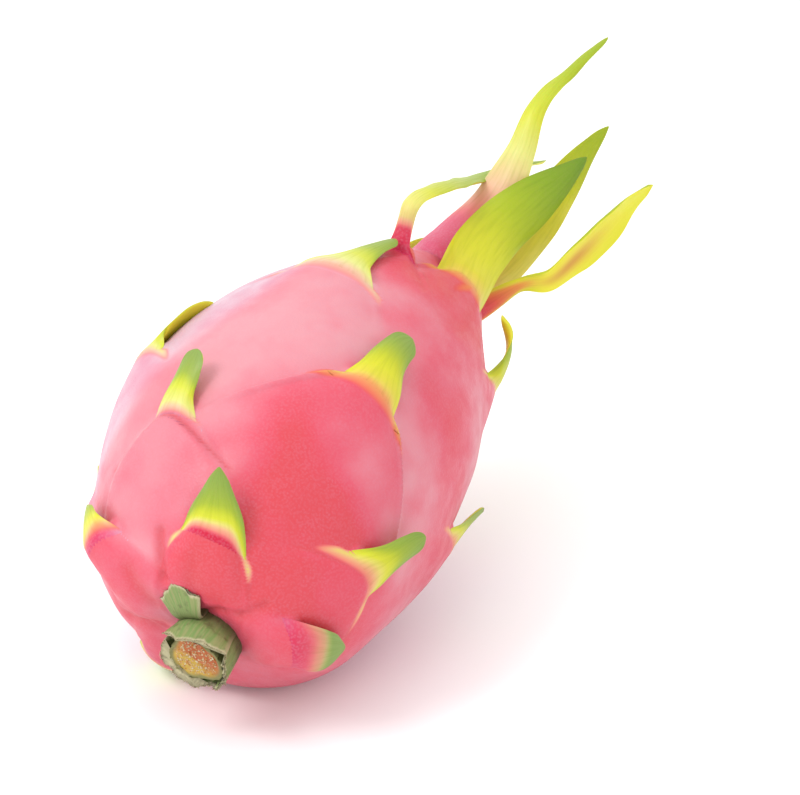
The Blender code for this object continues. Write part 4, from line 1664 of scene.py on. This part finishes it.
@dataclass(frozen=True)
class SkinFinish:
    """Pink skin and the scales that grow from it."""

    ripeness: bpy.types.NodeTree
    skin: bpy.types.NodeTree
    grain: bpy.types.NodeTree
    cloud_waves: float = 55.0
    cloud: float = 0.10
    underside_shade_low: float = 0.002
    underside_shade_high: float = 0.026
    grain_light: float = 0.27
    grain_colour: Colour = tint(255, 168, 194)
    grain_on_scales: float = 0.10
    streak_colour: Colour = tint(196, 210, 120, FULL_GAIN)
    streak_share: float = 0.28
    streaks_across: float = 7.0
    streaks_along: float = 90.0
    rib_height: float = 1.2
    # Yellow of the inner faces, brightened as painted light because they sit in shade.
    inner_colour: Colour = tint(252, 246, 60, INNER_PAINTED_LIGHT_GAIN)
    inner_share: float = 0.65
    stain_colour: Colour = tint(244, 150, 66)
    rough_low: float = 0.36
    rough_high: float = 0.50
    bump: float = 0.35
    bump_height: float = 0.00012
    shine: float = 0.36
    soak: float = 0.12
    soak_depth: float = 0.0025
    soak_colours: tuple = (1.0, 0.35, 0.30)

    def common(self, w: Wiring) -> tuple[bpy.types.NodeSocket, bpy.types.NodeSocket, bpy.types.NodeSocket]:
        """Lay the skin's colour under the ripeness colour, with its grain.

        Args:
            w: Wiring of the material's tree.

        Returns:
            Colour, the share of ripeness colour and the height of the grain.
        """
        place = w.place()
        cloud = w.span(w.noise(place, self.cloud_waves, 3.0), 0.3, 0.7, -self.cloud, self.cloud)
        blush = w.math("ADD", w.attribute("blush"), cloud, clamp=True)
        # Painted shade on the underside, strongest next to the floor and gone about 26 mm above it.
        above_floor = w.node("ShaderNodeSeparateXYZ", {0: place}).outputs["Z"]
        under = w.span(above_floor, self.underside_shade_low, self.underside_shade_high, 1.0, 0.0)
        # The crease value brings painted shade into the folds.
        skin = w.group(self.skin, {"Blush": blush, "Crease": w.attribute("crease"), "UndersideShade": under})
        ripe = w.group(self.ripeness, {key: w.attribute(key.lower()) for key in ("Leaf", "Warm", "Moss")})
        share = ripe["Share"]
        grain = w.group(self.grain, {"Strength": w.span(share, 0.0, 1.0, 1.0, self.grain_on_scales)})
        colour = w.blend(share, skin["Colour"], ripe["Colour"])
        colour = w.blend(w.times(grain["Light"], self.grain_light), colour, self.grain_colour)
        return colour, share, grain["Height"]

    def finish(self, w: Wiring, colour: object, height: object, rough: object) -> None:
        """Join colour, height and roughness to the shader of a material.

        Args:
            w: Wiring of the material's tree.
            colour: Base colour.
            height: Height for the bump.
            rough: Roughness.
        """
        shader = w.dress(colour, rough, w.bump(height, self.bump, self.bump_height))
        shader.inputs["Specular IOR Level"].default_value = self.shine
        shader.inputs["Subsurface Weight"].default_value = self.soak
        shader.inputs["Subsurface Radius"].default_value = self.soak_colours
        shader.inputs["Subsurface Scale"].default_value = self.soak_depth

    def skin_material(self) -> bpy.types.Material:
        """Build the material of the body's skin.

        Returns:
            The material.
        """
        material, w = new_material("ripe_skin")
        colour, _, height = self.common(w)
        rough = w.span(w.noise(w.place(), 220.0, 3.0), 0.3, 0.7, self.rough_low, self.rough_high)
        self.finish(w, colour, height, rough)
        return material

    def scale_material(self) -> bpy.types.Material:
        """Build the material of the fleshy scales.

        Returns:
            The material.
        """
        material, w = new_material("fleshy_scale")
        colour, share, height = self.common(w)
        lane = w.times(w.attribute("across"), self.streaks_across)
        run = w.times(w.attribute("along"), self.streaks_along)
        streaks = w.noise(w.sheet(lane, run), 1.0, 4.0)
        streaked = w.blend(1.0, colour, self.streak_colour, "MULTIPLY")
        shown = w.times(w.span(streaks, 0.40, 0.72), w.times(share, self.streak_share))
        colour = w.blend(shown, colour, streaked)
        inner = w.times(w.attribute("inner"), w.times(share, self.inner_share))
        colour = w.blend(inner, colour, self.inner_colour)
        colour = w.blend(w.times(w.attribute("stain"), w.attribute("inner")), colour, self.stain_colour)
        ribs = w.times(streaks, w.times(share, self.rib_height))
        rough = w.span(streaks, 0.3, 0.7, self.rough_low, self.rough_high)
        self.finish(w, colour, w.math("ADD", height, ribs), rough)
        return material


@dataclass(frozen=True)
class DryFibre:
    """Lengthwise fibres and blotches of dried plant skin."""

    lanes: float = 14.0
    runs: float = 2.2
    blotch_waves: float = 420.0

    def group(self) -> bpy.types.NodeTree:
        """Build the group that gives fibres and blotches from places along and across a piece.

        Returns:
            The group.
        """
        tree, w, given, result = shader_group(
            "dry_fibre", {"Along": (NUMBER, 0.0), "Across": (NUMBER, 0.0)},
            {"Fibre": NUMBER, "Blotch": NUMBER})
        strands = w.sheet(w.times(given["Across"], self.lanes), w.times(given["Along"], self.runs))
        w.feed(result["Fibre"], w.noise(strands, 1.0, 5.0))
        w.feed(result["Blotch"], w.noise(w.place(), self.blotch_waves, 3.0))
        return tree


@dataclass(frozen=True)
class DriedFinish:
    """Leathery, weathered green of the scales round the stem, with cream margins."""

    fibre: bpy.types.NodeTree
    fresh: Colour = tint(140, 176, 92)
    faded: Colour = tint(178, 184, 118)
    cream: Colour = tint(232, 222, 176)
    dark_brown: Colour = tint(92, 74, 46)
    bump: float = 0.6
    bump_height: float = 0.0005

    def material(self) -> bpy.types.Material:
        """Build the material.

        Returns:
            The material.
        """
        material, w = new_material("dried_leather")
        fibre = w.group(self.fibre, {"Along": w.attribute("free"), "Across": w.attribute("across")})
        streak, blotch = fibre["Fibre"], fibre["Blotch"]
        colour = w.blend(w.span(streak, 0.35, 0.68), self.fresh, self.faded)
        colour = w.blend(w.times(w.span(blotch, 0.52, 0.74), 0.55), colour, self.dark_brown)
        torn_end = w.math("ADD", w.attribute("rim"), w.times(streak, 0.06))
        colour = w.blend(w.span(torn_end, 0.975, 1.03), colour, self.cream)
        sides = w.math("ABSOLUTE", w.attribute("across"))
        colour = w.blend(w.times(w.span(sides, 0.86, 0.98), 0.6), colour, self.cream)
        # The scale turns dark brown toward its root.
        root = w.span(w.attribute("free"), 0.25, 0.60, 0.75, 0.0)
        colour = w.blend(root, colour, self.dark_brown)
        height = w.math("ADD", streak, w.times(blotch, 0.5))
        w.dress(colour, w.span(streak, 0.3, 0.7, 0.58, 0.80), w.bump(height, self.bump, self.bump_height))
        return material


@dataclass(frozen=True)
class CutStemFinish:
    """Moist orange and yellow core of the cut stem inside its fibrous rind."""

    fibre: bpy.types.NodeTree
    orange: Colour = tint(214, 104, 26)
    yellow: Colour = tint(232, 188, 52)
    pale: Colour = tint(236, 224, 160)
    rind: Colour = tint(150, 146, 86)
    bark: Colour = tint(110, 108, 62)
    fibres: float = 60.0
    lump_waves: float = 520.0
    bump: float = 0.5
    bump_height: float = 0.0004

    def material(self) -> bpy.types.Material:
        """Build the material.

        Returns:
            The material.
        """
        material, w = new_material("cut_core")
        strands = {key: w.times(w.attribute(key.lower()), self.fibres) for key in ("Along", "Across")}
        fibre = w.group(self.fibre, strands)["Fibre"]
        lumps = w.noise(w.place(), self.lump_waves, 4.0)
        core = w.attribute("core")
        amber = w.span(w.math("ADD", w.attribute("amber"), w.times(lumps, 0.8)), 0.55, 1.15)
        colour = w.blend(amber, self.yellow, self.orange)
        colour = w.blend(w.times(w.span(lumps, 0.56, 0.70), 0.5), colour, self.pale)
        colour = w.blend(w.span(core, 0.08, 0.24, 1.0, 0.0), colour, self.rind)
        side = w.blend(w.span(fibre, 0.35, 0.7), self.bark, self.rind)
        colour = w.blend(w.span(core, 0.0, 0.012, 1.0, 0.0), colour, side)
        normal = w.bump(w.math("ADD", lumps, fibre), self.bump, self.bump_height)
        w.dress(colour, w.span(core, 0.02, 0.25, 0.75, 0.30), normal)
        return material


@dataclass(frozen=True)
class GrainFinish:
    """Small glistening or fibrous grains in two shades, between a low and a high roughness."""

    name: str
    light: Colour
    dark: Colour
    low: float
    high: float

    def material(self) -> bpy.types.Material:
        """Build the material.

        Returns:
            The material.
        """
        material, w = new_material(self.name)
        shade = w.noise(w.place(), 900.0, 2.0)
        colour = w.blend(w.span(shade, 0.35, 0.65), self.dark, self.light)
        w.dress(colour, w.span(shade, 0.3, 0.7, self.low, self.high))
        return material


# ---------------------------------------------------------------------------------------------
# What repeats, grown by geometry nodes
# ---------------------------------------------------------------------------------------------

class Habit(Enum):
    """How grains grow on the shape that carries them."""

    ON_FACES = "pulp_grains"
    ON_MARGIN = "frayed_fibres"


@dataclass(frozen=True)
class Scatter:
    """Grains or fibres set all over a sheet or along a margin."""

    habit: Habit
    material: bpy.types.Material
    size: float
    density: float
    seed: int
    smallest: float = 0.45
    largest: float = 1.35
    fibre_width: float = 0.22
    fibre_tip: float = 0.00003
    least_turn: tuple = (-0.5, -2.1, -0.6)
    most_turn: tuple = (0.5, -1.2, 0.6)

    def tree(self) -> bpy.types.NodeTree:
        """Build the node tree, with inputs named Size and Density.

        Returns:
            The tree.
        """
        tree = bpy.data.node_groups.new(self.habit.value, "GeometryNodeTree")
        for key, kind in (("Geometry", "NodeSocketGeometry"), ("Size", NUMBER), ("Density", NUMBER)):
            tree.interface.new_socket(key, in_out="INPUT", socket_type=kind)
        tree.interface.new_socket("Geometry", in_out="OUTPUT", socket_type="NodeSocketGeometry")
        w = Wiring(tree)
        given = w.node("NodeGroupInput").outputs
        spread = {2: self.smallest, 3: self.largest, 8: self.seed}
        scale = w.node("FunctionNodeRandomValue", spread).outputs[1]
        grow = self.grains if self.habit is Habit.ON_FACES else self.fibres
        shape, places, turn = grow(w, given)
        grown = w.node("GeometryNodeInstanceOnPoints", {
            "Points": places, "Instance": shape, "Rotation": turn, "Scale": scale}).outputs["Instances"]
        real = w.node("GeometryNodeRealizeInstances", {"Geometry": grown}).outputs["Geometry"]
        soft = w.node("GeometryNodeSetShadeSmooth", {"Geometry": real}).outputs["Geometry"]
        done = w.node("GeometryNodeSetMaterial", {"Geometry": soft, "Material": self.material})
        w.node("NodeGroupOutput", {"Geometry": done.outputs["Geometry"]})
        return tree

    def grains(self, w: Wiring, given: bpy.types.NodeOutputs) -> tuple:
        """Set small round grains all over the faces.

        Args:
            w: Wiring of the tree.
            given: The tree's inputs.

        Returns:
            Sockets of the grain, the places and their turns.
        """
        points = w.node("GeometryNodeDistributePointsOnFaces", {
            "Mesh": given["Geometry"], "Density": given["Density"], "Seed": self.seed}).outputs
        grain = w.node("GeometryNodeMeshIcoSphere", {"Radius": given["Size"], "Subdivisions": 2})
        return grain.outputs["Mesh"], points["Points"], points["Rotation"]

    def fibres(self, w: Wiring, given: bpy.types.NodeOutputs) -> tuple:
        """Set tapered fibres along the line, each leaning its own way.

        Args:
            w: Wiring of the tree.
            given: The tree's inputs.

        Returns:
            Sockets of the fibre, the places and their turns.
        """
        line = w.node("GeometryNodeMeshToCurve", {"Mesh": given["Geometry"]}).outputs["Curve"]
        spacing = w.math("DIVIDE", 1.0, given["Density"])
        points = w.node("GeometryNodeResampleCurve", {"Curve": line, "Length": spacing}, mode="LENGTH")
        fibre = w.node("GeometryNodeMeshCone", {
            "Vertices": 6, "Radius Top": self.fibre_tip, "Depth": given["Size"],
            "Radius Bottom": w.times(given["Size"], self.fibre_width)})
        sway = w.node("FunctionNodeRandomValue", {0: self.least_turn, 1: self.most_turn, 8: self.seed + 1},
                      data_type="FLOAT_VECTOR")
        turn = w.node("FunctionNodeEulerToRotation", {0: sway.outputs[0]}).outputs[0]
        return fibre.outputs["Mesh"], points.outputs["Curve"], turn

    def grow(self, name: str, carrier: bpy.types.Object, tree: bpy.types.NodeTree) -> bpy.types.Object:
        """Grow the grains on a carrier and keep the plain mesh alone.

        Args:
            name: Name of the new piece.
            carrier: Shape that the grains grow on, which is removed.
            tree: Node tree from the tree method.

        Returns:
            The new piece.
        """
        modifier = carrier.modifiers.new(name, "NODES")
        modifier.node_group = tree
        values = {"Size": self.size, "Density": self.density}
        for item in tree.interface.items_tree:
            if item.in_out == "INPUT" and item.name in values:
                modifier[item.identifier] = values[item.name]
        depsgraph = bpy.context.evaluated_depsgraph_get()
        mesh = bpy.data.meshes.new_from_object(carrier.evaluated_get(depsgraph))
        mesh.name = name
        bpy.data.objects.remove(carrier, do_unlink=True)
        return stand(name, mesh)


# ---------------------------------------------------------------------------------------------
# Studio
# ---------------------------------------------------------------------------------------------

@dataclass(frozen=True)
class SoftBox:
    """A round, soft light that is turned toward the fruit. Its power is in watts."""

    name: str
    place: tuple
    size: float
    power: float
    aim: tuple = (0.02, 0.0, 0.04)

    def hang(self) -> None:
        """Put the light in the scene."""
        light = bpy.data.lights.new(self.name, "AREA")
        light.shape = "DISK"
        light.size = self.size
        light.energy = self.power
        lamp = stand(self.name, light)
        lamp.location = self.place
        lamp.rotation_mode = "QUATERNION"
        lamp.rotation_quaternion = (Vector(self.aim) - Vector(self.place)).to_track_quat("-Z", "Y")


@dataclass(frozen=True)
class Studio:
    """White table top, soft lights and the camera.

    The azimuth and the elevation are in degrees, the lens in millimetres and other lengths in metres.
    """

    floor_half: float = 2.5
    floor_light: Colour = tint(251, 251, 251, FULL_GAIN)
    floor_dark: Colour = tint(249, 249, 250, FULL_GAIN)
    sky_strength: float = 1.20
    boxes: tuple[SoftBox, ...] = (
        SoftBox("key_box", (-0.60, 0.42, 0.90), 0.45, 4.6),
        SoftBox("top_box", (0.10, 0.25, 1.00), 0.90, 1.2),
    )
    azimuth: float = -62.2
    elevation: float = 29.0
    lens: float = 151.8
    distance: float = 0.85
    look_at: tuple = (0.0268, 0.0015, 0.0468)
    aim_right: float = 0.0239
    aim_up: float = 0.0104

    def build(self) -> None:
        """Set up the floor, the sky, the lights and the camera."""
        self.floor()
        self.sky()
        for box in self.boxes:
            box.hang()
        self.camera()
        bpy.context.scene.view_settings.view_transform = "Standard"

    def floor(self) -> None:
        """Lay the white table top."""
        half = self.floor_half
        mesh = bpy.data.meshes.new("table_top")
        corners = ((-half, -half, 0.0), (half, -half, 0.0), (half, half, 0.0), (-half, half, 0.0))
        mesh.from_pydata(corners, [], [(0, 1, 2, 3)])
        floor = stand("table_top", mesh)
        material, w = new_material("white_table")
        shade = w.noise(w.place(), 3.0, 2.0)
        colour = w.blend(shade, self.floor_light, self.floor_dark)
        shader = w.dress(colour, w.span(shade, 0.3, 0.7, 0.75, 0.85))
        shader.inputs["Specular IOR Level"].default_value = 0.2
        mesh.materials.append(material)

    def sky(self) -> None:
        """Make the even white surroundings."""
        world = bpy.data.worlds.new("white_room")
        world.use_nodes = True
        background = world.node_tree.nodes["Background"]
        background.inputs["Color"].default_value = (1.0, 1.0, 1.0, 1.0)
        background.inputs["Strength"].default_value = self.sky_strength
        bpy.context.scene.world = world

    def camera(self) -> None:
        """Place the camera."""
        a, e = math.radians(self.azimuth), math.radians(self.elevation)
        back = Vector((math.sin(a) * math.cos(e), -math.cos(a) * math.cos(e), math.sin(e)))
        right = Vector((math.cos(a), math.sin(a), 0.0))
        up = back.cross(right)
        centre = Vector(self.look_at)
        data = bpy.data.cameras.new("studio_camera")
        data.lens = self.lens
        data.sensor_width = 36.0
        data.clip_start = 0.05
        data.clip_end = 20.0
        camera = stand("studio_camera", data)
        camera.location = centre + back * self.distance
        aim = centre + right * self.aim_right + up * self.aim_up
        camera.rotation_mode = "QUATERNION"
        camera.rotation_quaternion = (aim - camera.location).to_track_quat("-Z", "Y")
        bpy.context.scene.camera = camera


# ---------------------------------------------------------------------------------------------
# Assembly
# ---------------------------------------------------------------------------------------------

SIDE_ROWS = 64
CROWN_ROWS = 120


def dried_scales(form: FruitForm) -> tuple[DriedScale, ...]:
    """List the dried scales round the stem.

    Args:
        form: Shape of the bare fruit.

    Returns:
        The scales.
    """
    return (
        DriedScale("dried_scale_top", "stem_scale_1", form, theta=2, span=128, length=8.0, lean=8,
                   curl=1.6, corner=1.8, narrowing=0.05, seed=3),
        DriedScale("dried_scale_right", "stem_scale_2", form, theta=92, span=58, length=7.4, lean=5,
                   curl=0.2, corner=0.8, seed=5),
        DriedScale("dried_scale_low_right", "stem_scale_3", form, theta=143, span=56, length=6.4, lean=7,
                   narrowing=0.0, seed=8),
        DriedScale("dried_scale_low_left", "stem_scale_4", form, theta=226, span=122, length=6.6, lean=6,
                   corner=0.6, narrowing=0.0, seed=11),
        DriedScale("dried_scale_fan", "stem_scale_5", form, theta=341, span=46, length=9.6, set_out=0.9,
                   lean=98, bend=(0.26, 0.54), narrowing=0.05, seed=14),
    )


def build_stem(form: FruitForm) -> None:
    """Build the cut stem, the dried scales round it and the fibres that fray from them.

    Args:
        form: Shape of the bare fruit.
    """
    fibre = DryFibre().group()
    stem = CutStem(form)
    settle(stem.build(), Slot.CUT, CutStemFinish(fibre).material(), "stem_stub")
    wet = GrainFinish("wet_pulp", tint(250, 238, 196), tint(228, 150, 54), 0.12, 0.30).material()
    pulp = Scatter(Habit.ON_FACES, wet, size=0.00022, density=2.6e6, seed=7)
    settle(pulp.grow("stem_pulp", stem.face_patch(), pulp.tree()), Slot.CUT, wet)
    logging.info("built cut_stem_end and stem_pulp")
    dried = DriedFinish(fibre).material()
    frayed = GrainFinish("frayed_fibre", tint(232, 220, 172), tint(150, 132, 84), 0.70, 0.88).material()
    fibres = Scatter(Habit.ON_MARGIN, frayed, size=0.0005, density=2200.0, seed=3)
    fibre_tree = fibres.tree()
    for scale in dried_scales(form):
        settle(scale.build(), Slot.DRIED, dried, scale.node)
        settle(fibres.grow(scale.name + "_fray", scale.margin(), fibre_tree), Slot.DRIED, frayed)
        logging.info("built %s", scale.name)


def main() -> None:
    """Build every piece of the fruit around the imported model."""
    logging.basicConfig(level=logging.INFO, format="%(message)s")
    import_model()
    form = FruitForm()
    relief = Relief(form, SIDE_GROWTHS + CROWN_GROWTHS)
    finish = SkinFinish(RipenessColours().group(), SkinColours().group(), Grain().group())
    skin_material = finish.skin_material()
    scale_material = finish.scale_material()
    body = BodyPiece(form, relief).build()
    settle(body, Slot.SKIN, skin_material, "fruit_body")
    logging.info("built %s", body.name)
    for growths, rows in ((SIDE_GROWTHS, SIDE_ROWS), (CROWN_GROWTHS, CROWN_ROWS)):
        for growth in growths:
            leaf = Bract(growth, form, relief, rows).build()
            settle(leaf, Slot.SCALE, scale_material, growth.name)
            logging.info("built %s", leaf.name)
    build_stem(form)
    Studio().build()


if __name__ == "__main__":
    main()
